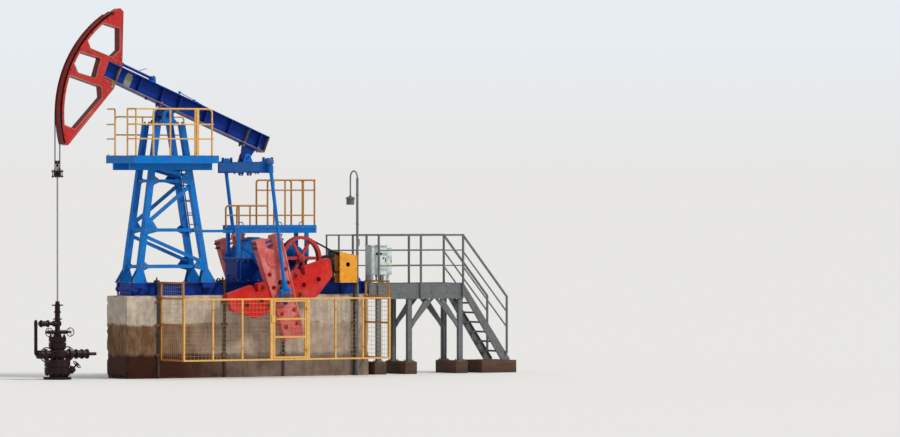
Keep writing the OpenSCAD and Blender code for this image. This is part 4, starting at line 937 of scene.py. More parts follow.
def cast_foundation():
    cell, broken, deepest = 0.045, 0.09, 0.05
    half = Vector((FOUND_L / 2, FOUND_W / 2, FOUND_H / 2))
    mesh = bmesh.new()
    cuts = [max(2, round(2 * h / cell)) for h in half]
    for axis in range(3):
        u, v = [i for i in range(3) if i != axis]
        for sign in SIDES:
            verts = []
            for i in range(cuts[u] + 1):
                line = []
                for j in range(cuts[v] + 1):
                    p = [0.0, 0.0, 0.0]
                    p[axis] = sign * half[axis]
                    p[u] = -half[u] + 2 * half[u] * i / cuts[u]
                    p[v] = -half[v] + 2 * half[v] * j / cuts[v]
                    line.append(mesh.verts.new(p))
                verts.append(line)
            for one, two in zip(verts, verts[1:]):
                for j in range(cuts[v]):
                    mesh.faces.new((one[j], two[j], two[j + 1], one[j + 1]))
    bmesh.ops.remove_doubles(mesh, verts=mesh.verts, dist=0.0005)
    bmesh.ops.recalc_face_normals(mesh, faces=mesh.faces)
    # The faces are rough, and the edges have lost bites, more so at the well's end
    for vert in mesh.verts:
        p = vert.co.copy()
        gaps = [half[i] - abs(p[i]) for i in range(3)]
        if p.z < -half.z + 0.001:
            gaps[2] = 1.0
        rough = 0.5 + 0.5 * noise.fractal(p * 5.0, 0.9, 2.0, 5)
        bite = max(0.0, noise.fractal(p * 2.6 + Vector((3, 1, 7)), 0.8, 2.0, 4) - 0.02)
        nearness = max(0.0, 1.0 - sorted(gaps)[1] / broken)
        worse = 1.6 if p.x < -half.x + 0.3 else 1.0
        for i in range(3):
            if gaps[i] > 0.001 or (i == 2 and p.z < 0):
                continue
            inward = 0.001 + 0.007 * rough + nearness * (0.01 + 0.1 * bite * worse)
            vert.co[i] -= copysign(min(inward, deepest), p[i])
        vert.co.z += half.z
    data = bpy.data.meshes.new("foundation_cast")
    mesh.to_mesh(data)
    mesh.free()
    piece = linked("foundation_cast", data)
    dress(piece, "foundation concrete", 40.0)
    settle(piece, "frame")
    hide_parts("foundation")


def bolt_frame(context):
    size = context.scene.pumpjack_sizes.bolt_flat
    feet = [((x + dx, 0.35 + dy, SKID_TOP + 0.024), UP)
            for x in (PIVOT.x - LEG_FRONT, PIVOT.x + LEG_BACK)
            for dx in (-0.165, 0.165) for dy in (-0.082, 0.082)]
    bolts("tower_foot_bolts", both_sides(feet), "frame", size, 0.028, 0.05)

    x0, x1, half = SHAFT.x - 0.6, FAST.x + 0.35, 0.29
    base = [((x, half + 0.032, SKID_TOP + 0.033), UP) for x in span(x0 + 0.02, x1 - 0.02, 0.28)]
    split = [((x, half + 0.026, SHAFT.z + 0.038), UP) for x in span(x0, x1, 0.145)
             if abs(x - SHAFT.x) > 0.23 and abs(x - FAST.x) > 0.15]
    under = [((p[0], p[1], SHAFT.z - 0.038), DOWN) for p, _ in split]
    bolts("gearbox_bolts", both_sides(base + split + under), "frame", size * 0.8, 0.022, 0.036)
    caps = [place for x, r in ((SHAFT.x, 0.155), (FAST.x, 0.086))
            for place in round_places((x, half + 0.072, SHAFT.z), FAR, r, 8, 0.39)]
    bolts("gearbox_cap_bolts", both_sides(caps), "frame", size * 0.62, 0.016, 0.02)

    seat = PIVOT.z - 0.178
    pillow = [((PIVOT.x + dx, 0.23, seat), UP) for dx in (-0.195, 0.195)]
    cap = [((PIVOT.x + dx, y, seat - 0.04), UP) for dx in (-0.34, 0.34) for y in (0.09, 0.3)]
    bolts("pillow_bolts", both_sides(pillow + cap), "frame", size * 1.1, 0.032, 0.05)

    clamps = [((x, 0.455, SKID_TOP + 0.063), UP) for x in HOLD_DOWN_X]
    bolts("clamp_nuts", both_sides(clamps), "frame", size * 1.15, 0.036, 0.072, "rusty steel")

    web = [((x, 0.441, WALK_Z - drop), FAR)
           for x in span(WALK_X0 + 0.04, WALK_X1 - 0.04, 0.42) for drop in (0.05, 0.2)]
    bolts("walkway_bolts", both_sides(web), "frame", size * 0.5, 0.012, 0.014)
    legs = [((WALK_X0 + dx + sx, 0.385 + sy, 0.315), UP)
            for dx in WALK_LEGS for sx in (-0.075, 0.075) for sy in (-0.075, 0.075)]
    bolts("walkway_foot_bolts", both_sides(legs), "frame", size * 0.6, 0.016, 0.04, "rusty steel")


def fit_skid():
    plates = Shape()
    for side in SIDES:
        for dx in WALK_LEGS:
            x = WALK_X0 + dx
            plates.box((x - 0.11, side * 0.275, 0.298), (x + 0.11, side * 0.495, 0.314), 0.003)
            for s in SIDES:
                tri = [(x + s * 0.034, 0.314), (x + s * 0.1, 0.314), (x + s * 0.034, 0.42)]
                plates.plate(tri if s > 0 else tri[::-1], side * 0.378, side * 0.392)
    plates.finish("walkway_base_plates", "frame", "walkway grey", "grey_paint")

    lugs = Shape()
    for side in SIDES:
        for x in (-2.75, -0.35, 1.9, 3.05):
            y = side * 0.37
            lugs.plate([(x - 0.07, SKID_TOP - 0.01), (x + 0.07, SKID_TOP - 0.01),
                        (x + 0.07, SKID_TOP + 0.03), (x + 0.035, SKID_TOP + 0.085),
                        (x - 0.035, SKID_TOP + 0.085), (x - 0.07, SKID_TOP + 0.03)], y - 0.01,
                       y + 0.01, [circle(x, SKID_TOP + 0.045, 0.02, 14)])
    for x in (-3.0, 3.28):
        lugs.rod((x, -0.42, 2.1), FAR, 0.84, 0.052, 20)
        for side in SIDES:
            lugs.turned((x, side * 0.4, 2.1), (0, side, 0),
                        [(0, 0.075), (0.035, 0.075), (0.035, 0.03)], 24)
    lugs.finish("skid_lugs", "frame", "skid navy", "dark_steel")

    straps = Shape()
    for side in SIDES:
        for x in HOLD_DOWN_X:
            for z in (0.55, 1.25, 1.8):
                straps.box((x - 0.075, side * 0.5285, z - 0.03),
                           (x + 0.075, side * 0.561, z + 0.03), 0.004)
    straps.finish("tie_bar_clips", "frame", "rusty steel", "dark_steel")


def tower_leg(front, z, side):
    """Middle of a leg at a height. The legs lean in, front and side, up to the cap."""
    t = (z - SKID_TOP) / 3.712
    way, reach = (-1, LEG_FRONT) if front else (1, LEG_BACK)
    return Vector((PIVOT.x + way * (reach + (LEG_TOP - reach) * t),
                   side * (0.35 + (0.3 - 0.35) * t), z))


def fit_tower():
    gussets = Shape()
    places = []
    low, mid, high = SKID_TOP + 0.38, SKID_TOP + 1.24, SKID_TOP + 2.4
    for side in SIDES:
        for z, front, reach, rise in (
                (low, False, 0.3, 0.24), (low, True, 0.18, 0.12), (mid, True, 0.3, 0.27),
                (mid, False, 0.18, 0.12), (high, False, 0.3, 0.25), (high, True, 0.18, 0.12)):
            p = tower_leg(front, z, side)
            away = 1 if front else -1
            out = p.y + side * 0.0685
            top = tower_leg(front, z + rise, side)
            foot = tower_leg(front, z - 0.1, side)
            outline = [(foot.x - away * 0.05, foot.z), (foot.x + away * 0.06, foot.z),
                       (p.x + away * reach, z - 0.04), (p.x + away * reach, z + 0.05),
                       (p.x + away * reach * 0.62, z + rise * 0.8), (top.x + away * 0.06, top.z),
                       (top.x - away * 0.05, top.z)]
            gussets.plate(outline if away > 0 else outline[::-1], out, out + side * 0.01)
            for x, dz in ((p.x + away * (reach - 0.04), 0.005),
                          (p.x + away * (reach - 0.11), 0.005), (p.x, 0.0),
                          (p.x + away * reach * 0.5, rise * 0.55)):
                places.append(((x, out + side * 0.01, z + dz), (0, side, 0)))
    gussets.finish("tower_gussets", "frame", "tower blue", "blue_paint")
    bolts("tower_gusset_bolts", places, "frame", 0.036, 0.018, 0.02)

    hoops = Shape()
    x = tower_leg(False, 4.3, 1).x + 0.13
    for side in SIDES:
        hoops.bar((x + 0.1, side * 0.23, 3.4), (x - 0.17, side * 0.23, 5.04), 0.05, 0.01)
    for i in range(6):
        z = 3.62 + i * 0.27
        px = x + 0.1 - 0.27 * (z - 3.4) / 1.64
        hoops.tube([(px, -0.23, z), (px, 0.23, z)], 0.011, 8)
    hoops.finish("ladder_side_rails", "frame", "tower blue", "blue_paint")

    deck = Shape()
    x0, x1, half = DECK_X0, PIVOT.x + 1.1, 0.73
    for side in SIDES:
        deck.box((x0, side * (half - 0.055), DECK_Z - 0.18),
                 (x1, side * (half - 0.002), DECK_Z - 0.168), 0.002)
        for x in span(x0 + 0.12, x1 - 0.12, 0.5):
            deck.plate(oblong(x - 0.005, x + 0.005, DECK_Z - 0.17, DECK_Z - 0.008),
                       side * (half - 0.06), side * (half - 0.006))
    for x in span(x0 + 0.28, x1 - 0.28, 0.42):
        deck.box((x - 0.02, -half + 0.01, DECK_Z - 0.048), (x + 0.02, -0.42, DECK_Z - 0.008), 0.002)
        deck.box((x - 0.02, 0.42, DECK_Z - 0.048), (x + 0.02, half - 0.01, DECK_Z - 0.008), 0.002)
    deck.finish("platform_ribs", "frame", "tower blue", "blue_paint")

    shape = Shape()
    for s in SIDES:
        shape.box((x0 + 0.03, s * 0.39, DECK_Z + 0.001), (x0 + 0.036, s * 0.722, DECK_Z + 0.006))
    row("platform_tread_bars", shape, 90, 0.0245, "tower blue")


def bent_frame(shape, x0, x1, y, z0, z1, r, bend=0.09):
    """One bent tube up, along and down."""
    shape.tube([(x0, y, z0), (x0, y, z1), (x1, y, z1), (x1, y, z0)], r, 10, bend)


def post_flanges(shape, points, r):
    """Round feet of posts."""
    for x, y, z in points:
        shape.turned(
            (x, y, z), UP, [(0, r * 2.0), (0.008, r * 2.0), (0.01, r * 1.15), (0.03, r * 1.12)], 16)


def bend_railings(context):
    r = context.scene.pumpjack_sizes.rail / 2
    x0, y = DECK_X0, 0.708
    rise = 1.1
    levels = (0.36, 0.67)
    top = DECK_Z + rise
    posts = [x0 + d for d in (0.05, 0.51, 0.96, 1.62, 2.07)]
    tower = Shape()
    end = x0 + 0.027
    gap = 0.32
    bent_frame(tower, posts[1], posts[4], -y, DECK_Z, top, r)
    tower.tube([(posts[0], -y, DECK_Z), (posts[0], -y, top), (end, -y + 0.35, top),
                (end, -gap, top), (end, -gap, DECK_Z)], r, 10, 0.07)
    for x in posts[2:4]:
        tower.tube([(x, -y, DECK_Z), (x, -y, top)], r * 0.95)
    for share in levels:
        z = DECK_Z + rise * share
        tower.tube([(posts[4] + 0.04, -y, z), (posts[0], -y, z), (end, -y + 0.3, z),
                    (end, -gap, z)], r * 0.85, 10, 0.05)
    tower.tube([(posts[0], -y, top), (posts[1], -y, top)], r * 0.9)
    tower.box((posts[3] + 0.03, -y - 0.02, DECK_Z + 0.001), (posts[3] + 0.1, -y + 0.016, top),
              0.006)
    low = DECK_Z + rise * 0.84
    tower.tube([(posts[4], y, DECK_Z), (posts[4], y, low), (posts[0] + 0.18, y, low),
                (posts[0] + 0.18, y, DECK_Z)], r * 0.9, 10, 0.08)
    tower.tube([(end, gap, DECK_Z), (end, gap, top), (end, y, top), (end + 0.05, y + 0.004, top)],
               r * 0.9, 10, 0.05)
    for share in levels:
        tower.tube([(end, gap, DECK_Z + rise * share), (end, y + 0.01, DECK_Z + rise * share)],
                   r * 0.85)
    z = DECK_Z + rise * 0.45
    tower.tube([(posts[4] + 0.04, y, z), (posts[0] + 0.18, y, z)], r * 0.8)
    tower.tube([(posts[2], y, DECK_Z), (posts[2], y, low)], r * 0.9)
    feet = [(x, -y, DECK_Z) for x in posts] + [
        (x, y, DECK_Z) for x in (posts[0], posts[2], posts[4])]
    post_flanges(tower, feet, r)
    piece = tower.finish("tower_bent_railing", "frame", "rail yellow", "yellow_paint", SMOOTH_RAIL)
    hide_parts("tower_railing")

    gear = Shape()
    half = 0.278
    xa, xb, xc = SHAFT.x - 0.59, SHAFT.x + 0.24, SHAFT.x + 1.516
    z = GEAR_DECK_Z
    for side in SIDES:
        y = side * half
        gear.tube([(xa, y, z), (xa, y, z + 0.53), (xb, y, z + 0.53)], r, 10, 0.08)
        gear.tube([(xa + 0.355, y, z), (xa + 0.355, y, z + 0.53)], r * 0.9)
        bent_frame(gear, xb, xb + 0.95, y, z, z + 1.14, r, 0.07)
        gear.tube([(xb + 0.475, y, z), (xb + 0.475, y, z + 1.14)], r * 0.9)
        gear.tube([(xb + 0.95, y, z + 1.14), (xc, y, z + 1.14)], r * 0.95)
        gear.tube([(xa, y, z + 0.3), (xc, y, z + 0.3)], r * 0.8)
        gear.tube([(xb, y, z + 0.9), (xc, y, z + 0.9)], r * 0.8)
        gear.turned((xc, y, z + 1.14), AHEAD, [(-0.02, r), (0.024, r)], 10)
    gear.tube([(xc, -half, z), (xc, -half, z + 1.14), (xc, half, z + 1.14), (xc, half, z)], r, 10,
              0.07)
    for rise in (0.3, 0.9):
        gear.tube([(xc, -half, z + rise), (xc, half, z + rise)], r * 0.8)
    feet = [(x, s * half, z) for x in (xa, xa + 0.355, xb, xb + 0.475, xb + 0.95, xc)
            for s in SIDES]
    post_flanges(gear, feet, r)
    piece = gear.finish("gearbox_bent_railing", "frame", "rail ochre", "yellow_paint", SMOOTH_RAIL)
    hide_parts("gearbox_railing")


def inset(outline, d):
    """The outline moved inwards by d, or outwards where d is negative."""
    points = [Vector(p) for p in outline]
    area = sum(a.x * b.y - b.x * a.y for a, b in zip(points, points[1:] + points[:1]))
    sign = 1 if area > 0 else -1
    out = []
    for i, p in enumerate(points):
        a = (p - points[i - 1]).normalized()
        b = (points[(i + 1) % len(points)] - p).normalized()
        na, nb = Vector((-a.y, a.x)) * sign, Vector((-b.y, b.x)) * sign
        mid = (na + nb).normalized()
        out.append(tuple(p + mid * (d / max(0.35, mid.dot(na)))))
    return out


def rim(shape, outline, width, y0, y1):
    """A flat rim along the inside of an outline, or its outside where width is negative."""
    other = inset(outline, width)
    outer, inner = (outline, other) if width > 0 else (other, outline)
    shape.plate(outer, y0, y1, [inner[::-1]])


def arc_points(r, a0, a1, step=2.5):
    """Points of the head's arc in the beam's own plane."""
    return [(-r * cos(radians(a)), r * sin(radians(a))) for a in span(a0, a1, step)]


# Upper, middle and lower opening of the head, each up its arc and back along its bars
HEAD_OPENINGS = (
    arc_points(2.687, 17.4, 30.0)
    + [(-1.907, 1.393), (-1.713, 0.924), (-1.825, 0.693), (-2.427, 0.664)],
    arc_points(2.687, 3.5, 10.3) + [(-2.092, 0.547), (-2.05, 0.068), (-2.508, 0.01)],
    arc_points(2.687, -28.0, -3.0) + [(-1.831, -0.066), (-1.717, -0.284), (-2.091, -1.247)])


def build_head():
    r = HEAD_R - 0.0285
    outline = [(-1.5, 0.03), (-1.5, 0.18), (-1.863, 0.18), (-1.863, 0.58), (-1.5, 0.58),
               (-1.5, 0.6), (-1.955, 1.8)] + arc_points(r, 41.9, -37.2, 2.0)
    outline.append((-r * 0.7965 + 0.09, -r * 0.6046))
    body = Shape(BEAM_PLACE)
    body.plate(outline, -HEAD_FACE, HEAD_FACE, HEAD_OPENINGS)
    piece = body.finish("horse_head_frame", "beam", "head red", "red_paint")
    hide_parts("horse_head")
    stub = Shape(BEAM_PLACE)
    for z in (0.18, 0.556):
        stub.box((-1.862, -0.135, z), (-1.499, 0.135, z + 0.024), 0.002)
    stub.box((-1.862, -0.008, 0.2), (-1.499, 0.008, 0.56))
    stub.finish("beam_end_in_head", "beam", "skid navy", "navy_paint")
    lips, plates, bolt_places = Shape(BEAM_PLACE), Shape(BEAM_PLACE), []
    gussets = (
        [(-2.318, 1.362), (-1.915, 1.408), (-1.83, 1.4), (-1.967, 1.76), (-2.09, 1.83),
         (-2.22, 1.65)],
        [(-2.6, 0.84), (-2.43, 0.65), (-2.33, 0.57), (-2.6, 0.545), (-2.688, 0.57)],
        [(-1.835, 0.675), (-1.723, 0.9), (-1.63, 0.915), (-1.53, 0.63), (-1.56, 0.592),
         (-1.84, 0.592)],
        [(-2.7, 0.13), (-2.52, -0.003), (-2.4, -0.04), (-2.45, -0.105), (-2.722, -0.12)],
        [(-1.825, -0.07), (-1.72, -0.27), (-1.63, -0.25), (-1.53, 0.02), (-1.53, 0.16),
         (-1.84, 0.16)],
        [(-2.36, -1.262), (-2.1, -1.262), (-1.99, -1.17), (-2.08, -1.6), (-2.21, -1.63)])
    for side in SIDES:
        face = side * HEAD_FACE
        for opening in HEAD_OPENINGS:
            rim(lips, opening, -0.016, face - side * 0.002, face + side * 0.007)
        for outline in gussets:
            plates.plate(outline, face - side * 0.002, face + side * 0.005)
    lips.finish("head_lips", "beam", "head lip", "red_paint")
    # Thin dark maroon rims over the inner faces of the openings: painted shade of these faces
    opening_shade = Shape(BEAM_PLACE)
    for opening in HEAD_OPENINGS:
        rim(opening_shade, opening, 0.004, -0.123, 0.123)
    opening_shade.finish("head_opening_shade", "beam", "track maroon and shade", "maroon_paint")
    edge = Shape(BEAM_PLACE)
    outer = [(-2.168, -1.705), (-1.505, 0.03), (-1.505, 0.17)]
    for side in SIDES:
        for a, b in zip(outer, outer[1:]):
            edge.bar((a[0] - 0.012, side * 0.127, a[1]), (b[0] - 0.012, side * 0.127, b[1]), 0.016,
                     0.008)
        edge.bar((-1.515, side * 0.127, 0.62), (-1.962, side * 0.127, 1.79), 0.016, 0.008)
    edge.finish("head_outer_lips", "beam", "head lip", "red_paint")
    plates.finish("head_gussets", "beam", "gusset red", "red_paint")
    for side in SIDES:
        for x, z in ((-1.6, 0.64), (-1.72, 0.64), (-1.6, 0.1), (-1.74, 0.1), (-2.45, 0.6),
                     (-2.6, 0.02), (-1.62, 0.78), (-1.66, -0.1)):
            bolt_places.append(((x, side * 0.13, z), (0, side, 0)))
    bolts("head_bolts", bolt_places, "beam", 0.045, 0.022, 0.03, place=BEAM_PLACE)

    # The arc track, its edges and the rope anchor take the maroon that is partly painted shade
    band = Shape(BEAM_PLACE)
    band.plate(arc_points(HEAD_R, 37.2, -37.2, 1.5) + arc_points(HEAD_R - 0.028, -37.2, 37.2, 1.5),
               -TRACK_FACE, TRACK_FACE)
    for side in SIDES:
        rope = [Vector((-(HEAD_R + 0.0125) * cos(radians(a)), side * ROPE_Y,
                        (HEAD_R + 0.0125) * sin(radians(a)))) for a in span(34.2, -22.4, 3.0)]
        band.tube(rope, ROPE_R, 8)
    piece = band.finish("arc_track", "beam", "track maroon and shade", "maroon_paint")
    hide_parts("head_track")

    track = Shape(BEAM_PLACE)
    for side in SIDES:
        y = side * TRACK_FACE
        outer = arc_points(2.789, -36.9, 36.9, 3.0)
        inner = arc_points(2.748, -36.9, 36.9, 3.0)
        track.plate(outer + inner[::-1], y - side * 0.008, y)
        for a in span(-33.0, 33.0, 11.0):
            c, s = cos(radians(a)), sin(radians(a))
            p, q = Vector((-2.763 * c, 0, 2.763 * s)), Vector((-2.7 * c, 0, 2.7 * s))
            n = Vector((s, 0, c)) * 0.006
            track.plate([(p + n).xz, (p - n).xz, (q - n).xz, (q + n).xz], side * 0.126,
                        side * 0.142)
    track.finish("track_edges", "beam", "track maroon and shade", "maroon_paint")

    top = Shape(BEAM_PLACE)
    a = radians(36.2)
    x, z = -2.76 * cos(a), 2.76 * sin(a)
    top.box((x - 0.01, -0.1, z + 0.005), (x + 0.12, 0.1, z + 0.055), 0.008)
    for side in SIDES:
        top.turned((x + 0.03, side * 0.105, z + 0.03), (0, side, 0),
                   [(-0.03, 0.04), (0.04, 0.04), (0.05, 0.03)], 18)
    top.finish("rope_anchor", "beam", "track maroon and shade", "maroon_paint")


def fit_beam():
    z0, z1, half = BEAM_RISE, BEAM_RISE + BEAM_H, BEAM_W / 2
    x0, x1 = BEAM_HEAD - 0.363, BEAM_TAIL
    edges = Shape(BEAM_PLACE)
    for side in SIDES:
        y = side * half
        edges.box((x0 + 0.004, y - side * 0.004, z0 + 0.001),
                  (x1 - 0.004, y + side * 0.003, z0 + 0.023), 0.001)
        edges.box((x0 + 0.004, y - side * 0.004, z1 - 0.006), (-1.49, y + side * 0.003, z1 - 0.001))
        edges.box((-1.522, side * 0.012, z0 + 0.03), (-1.502, side * (half - 0.002), z1 - 0.03),
                  0.002)
        edges.box((2.213, side * 0.012, z0 + 0.03), (2.219, side * (half - 0.005), z1 - 0.03),
                  0.001)
        edges.box((-1.62, side * 0.09, z0 - 0.16), (-1.52, side * 0.138, z0 - 0.002), 0.006)
    edges.box((x1 - 0.002, -half, z0), (x1 + 0.008, half, z1), 0.002)
    edges.finish("beam_worn_edges", "beam", "bare edge", "navy_paint")

    patch = Shape(BEAM_PLACE)
    outline = [(-1.27, 0.24), (-1.17, 0.22), (-1.09, 0.25), (-1.08, 0.44), (-1.12, 0.55),
               (-1.25, 0.54), (-1.28, 0.4)]
    patch.plate(outline, -0.0095, -0.0075)
    patch.finish("beam_worn_patch", "beam", "bare primer", "navy_paint")

    lever = Shape(BEAM_PLACE)
    lever.tube([(-1.46, 0.0, z1 + 0.085), (-0.58, 0.0, z1 + 0.085)], 0.033, 16)
    for x in (-1.48, -0.66):
        lever.box((x, -0.05, z1 - 0.001), (x + 0.03, 0.05, z1 + 0.125), 0.004)
    piece = lever.finish("strut_over_beam", "beam", "skid navy", "blue_paint")
    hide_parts("beam_strut")
    lever = Shape(BEAM_PLACE)
    lever.tube([(0.16, 0.0, z1 + 0.075), (0.63, 0.0, z1 + 0.045), (1.02, 0.0, z1 + 0.012)], 0.01, 8,
               0.05)
    for x, h in ((0.2, 0.09), (0.63, 0.06)):
        lever.box((x - 0.012, -0.02, z1 - 0.001), (x + 0.012, 0.02, z1 + h), 0.003)
        lever.rod((x, -0.045, z1 + h - 0.012), FAR, 0.09, 0.016, 12)
    lever.tube([(-1.02, 0.0, z1 + 0.07), (-0.98, 0.0, z1 + 0.13), (-0.82, 0.0, z1 + 0.25)], 0.008,
               8, 0.03)
    lever.plate([(-0.64, z1), (-0.46, z1), (-0.53, z1 + 0.15), (-0.6, z1 + 0.17)], -0.012, 0.012,
                [circle(-0.56, z1 + 0.11, 0.016, 12)])
    lever.rod((-0.56, -0.03, z1 + 0.12), FAR, 0.06, 0.024, 14)
    lever.box((-0.66, -0.06, z1 - 0.001), (-0.44, 0.06, z1 + 0.01), 0.002)
    lever.finish("beam_brake_lever", "beam", "tower blue", "blue_paint")

    lugs = Shape(BEAM_PLACE)
    lugs.plate([(-0.65, z0), (-0.6, z0), (-0.605, z0 - 0.065), (-0.645, z0 - 0.065)], -0.125, -0.1)
    lugs.rod((-0.625, -0.15, z0 - 0.045), FAR, 0.07, 0.02, 14)
    for side in SIDES:
        lugs.plate([(1.62, z1 - 0.03), (1.84, z1 - 0.03), (1.73, z1 - 0.22)], side * 0.012,
                   side * 0.022, [circle(1.73, z1 - 0.085, 0.022, 14)])
        for x in (-0.26, 0.24, 2.22, 2.56):
            lugs.plate([(x + 0.02, z0 + 0.02), (x + 0.15, z0 + 0.02), (x + 0.02, z0 + 0.16)],
                       side * 0.05, side * 0.062)
    lugs.finish("beam_lugs", "beam", "skid navy", "navy_paint")

    hub = Shape(BEAM_PLACE)
    for side in SIDES:
        hub.turned((0, side * 0.3, 0), (0, side, 0),
                   [(0, 0.075), (0.022, 0.075), (0.03, 0.06), (0.034, 0.02)], 28)
        hub.plate(circle(2.406, -0.09, 0.107, 28), side * 0.094, side * 0.103,
                  [circle(2.406, -0.09, 0.0455, 28)])
        for x in (-0.13, 0.13):
            hub.plate(oblong(x - 0.006, x + 0.006, 0.02, z0 - 0.02), side * 0.11, side * 0.125)
    hub.finish("bearing_caps", "beam", "skid navy", "navy_paint")

    places = []
    for x, dx in ((0.0, 0.195), (2.406, 0.19)):
        for s in SIDES:
            for side in SIDES:
                places.append(((x + s * dx, side * 0.105, z0 - 0.032), DOWN))
                places.append(((x + s * dx, side * 0.105, z0 + 0.026), UP))
    for side in SIDES:
        for x in (-1.82, -1.7, -1.58):
            places.append(((x, side * 0.095, z1 + 0.002), UP))
    bolts("beam_bolts", places, "beam", 0.055, 0.03, 0.045, place=BEAM_PLACE)


def fit_linkage():
    top = Vector((0.23016, 0, 5.10194))
    pin = Vector((0.6604, 0, 1.9254))
    down = (pin - top).normalized()
    across = Vector((down.z, 0, -down.x))

    def at(along, aside, y, base):
        p = base + down * along + across * aside
        return (p.x, y, p.z)

    clamp, caps, places, small = Shape(), Shape(), [], []
    for side in SIDES:
        for a0, a1, w in ((-0.175, -0.006, 0.132), (0.006, 0.15, 0.132)):
            outline = [(a0 + 0.02, -w), (a1, -w), (a1, w), (a0 + 0.02, w), (a0, w - 0.03),
                       (a0, 0.03 - w)]
            if a0 > 0:
                outline = [(a0, -w), (a1 - 0.05, -w), (a1, 0.05 - w), (a1, w - 0.05),
                           (a1 - 0.05, w), (a0, w)]
            flat = []
            for s, t in outline:
                p = pin + down * s + across * t
                flat.append((p.x, p.z))
            clamp.plate(flat, side * 1.076, side * 1.164)
        base = Vector(at(-0.4, 0.0, side * 1.12, pin))
        clamp.turned(base, tuple(down), [
            (0, 0.052), (0.02, 0.064), (0.1, 0.066), (0.22, 0.085), (0.235, 0.085)], 24)
        base = Vector(at(0.1, 0.0, side * 1.12, top))
        clamp.turned(base, tuple(down), [(0, 0.074), (0.05, 0.07), (0.16, 0.058), (0.17, 0.048)],
                     24)
        for s in SIDES:
            for y in (1.095, 1.145):
                places.append((at(0.008, s * 0.112, side * y, pin), tuple(down)))
                places.append((at(-0.01, s * 0.112, side * y, pin), tuple(-down)))
            for a in (-0.11, 0.085):
                small.append((at(a, s * 0.09, side * 1.165, pin), (0, side, 0)))
        caps.turned(at(0, 0, side * 1.206, pin), (0, side, 0),
                    [(0, 0.084), (0.012, 0.084), (0.018, 0.074), (0.02, 0.03), (0.03, 0.026)], 28)
        caps.turned(at(0, 0, side * 1.162, top), (0, side, 0),
                    [(0, 0.064), (0.018, 0.064), (0.026, 0.05), (0.03, 0.018)], 24)
        small += round_places(at(0, 0, side * 1.219, pin), (0, side, 0), 0.058, 6)
    clamp.finish("pitman_clamps", "pitman", "tower blue", "blue_paint")
    caps.finish("pitman_caps", "pitman", "rusty steel", "blue_paint")
    bolts("pitman_clamp_bolts", places, "pitman", 0.036, 0.02, 0.05)
    bolts("pitman_cap_bolts", small, "pitman", 0.024, 0.01, 0.012)

    beam = Shape()
    x0, x1, z0, z1 = 0.02, 0.32, 4.852, 5.102
    for side in SIDES:
        for x in (x0 - 0.014, x1 - 0.002):
            beam.box((x, side * 0.17, z1 - 0.016), (x + 0.016, side * 1.04, z1 + 0.001), 0.002)
            beam.box((x, side * 0.17, z0 - 0.001), (x + 0.016, side * 1.04, z0 + 0.016), 0.002)
        beam.plate([(0.09, z0), (0.25, z0), (0.225, z0 - 0.075), (0.115, z0 - 0.075)], side * 0.2,
                   side * 0.216, [circle(0.17, z0 - 0.045, 0.018, 12)])
        beam.box((0.05, side * 0.32, z0 - 0.012), (0.29, side * 0.52, z0 + 0.002), 0.003)
        beam.plate(oblong(x0 - 0.014, x1 + 0.014, z0 - 0.014, z1 + 0.014), side * 1.048,
                   side * 1.0645)
        for dx in (-0.128, 0.098):
            beam.box((top.x + dx, side * 0.972, top.z - 0.06),
                     (top.x + dx + 0.03, side * 1.061, top.z + 0.11), 0.006)
    # The ribs and end plates take the darker blue, which is painted shade
    beam.finish("equalizer_ribs", "pitman", "equalizer shade blue", "blue_paint")
    # Four bolts under the near half, a pair in one hole at the near cheek, two on the far side
    under = [((x, y, z0 - 0.014), DOWN) for y in (-0.36, -0.48, 0.36) for x in (0.08, 0.26)]
    cheek = [((0.17, -0.152, 5.222), NEAR)] * 2
    bolts("equalizer_bolts", under[:4] + cheek + under[4:], "pitman", 0.04, 0.02, 0.03)


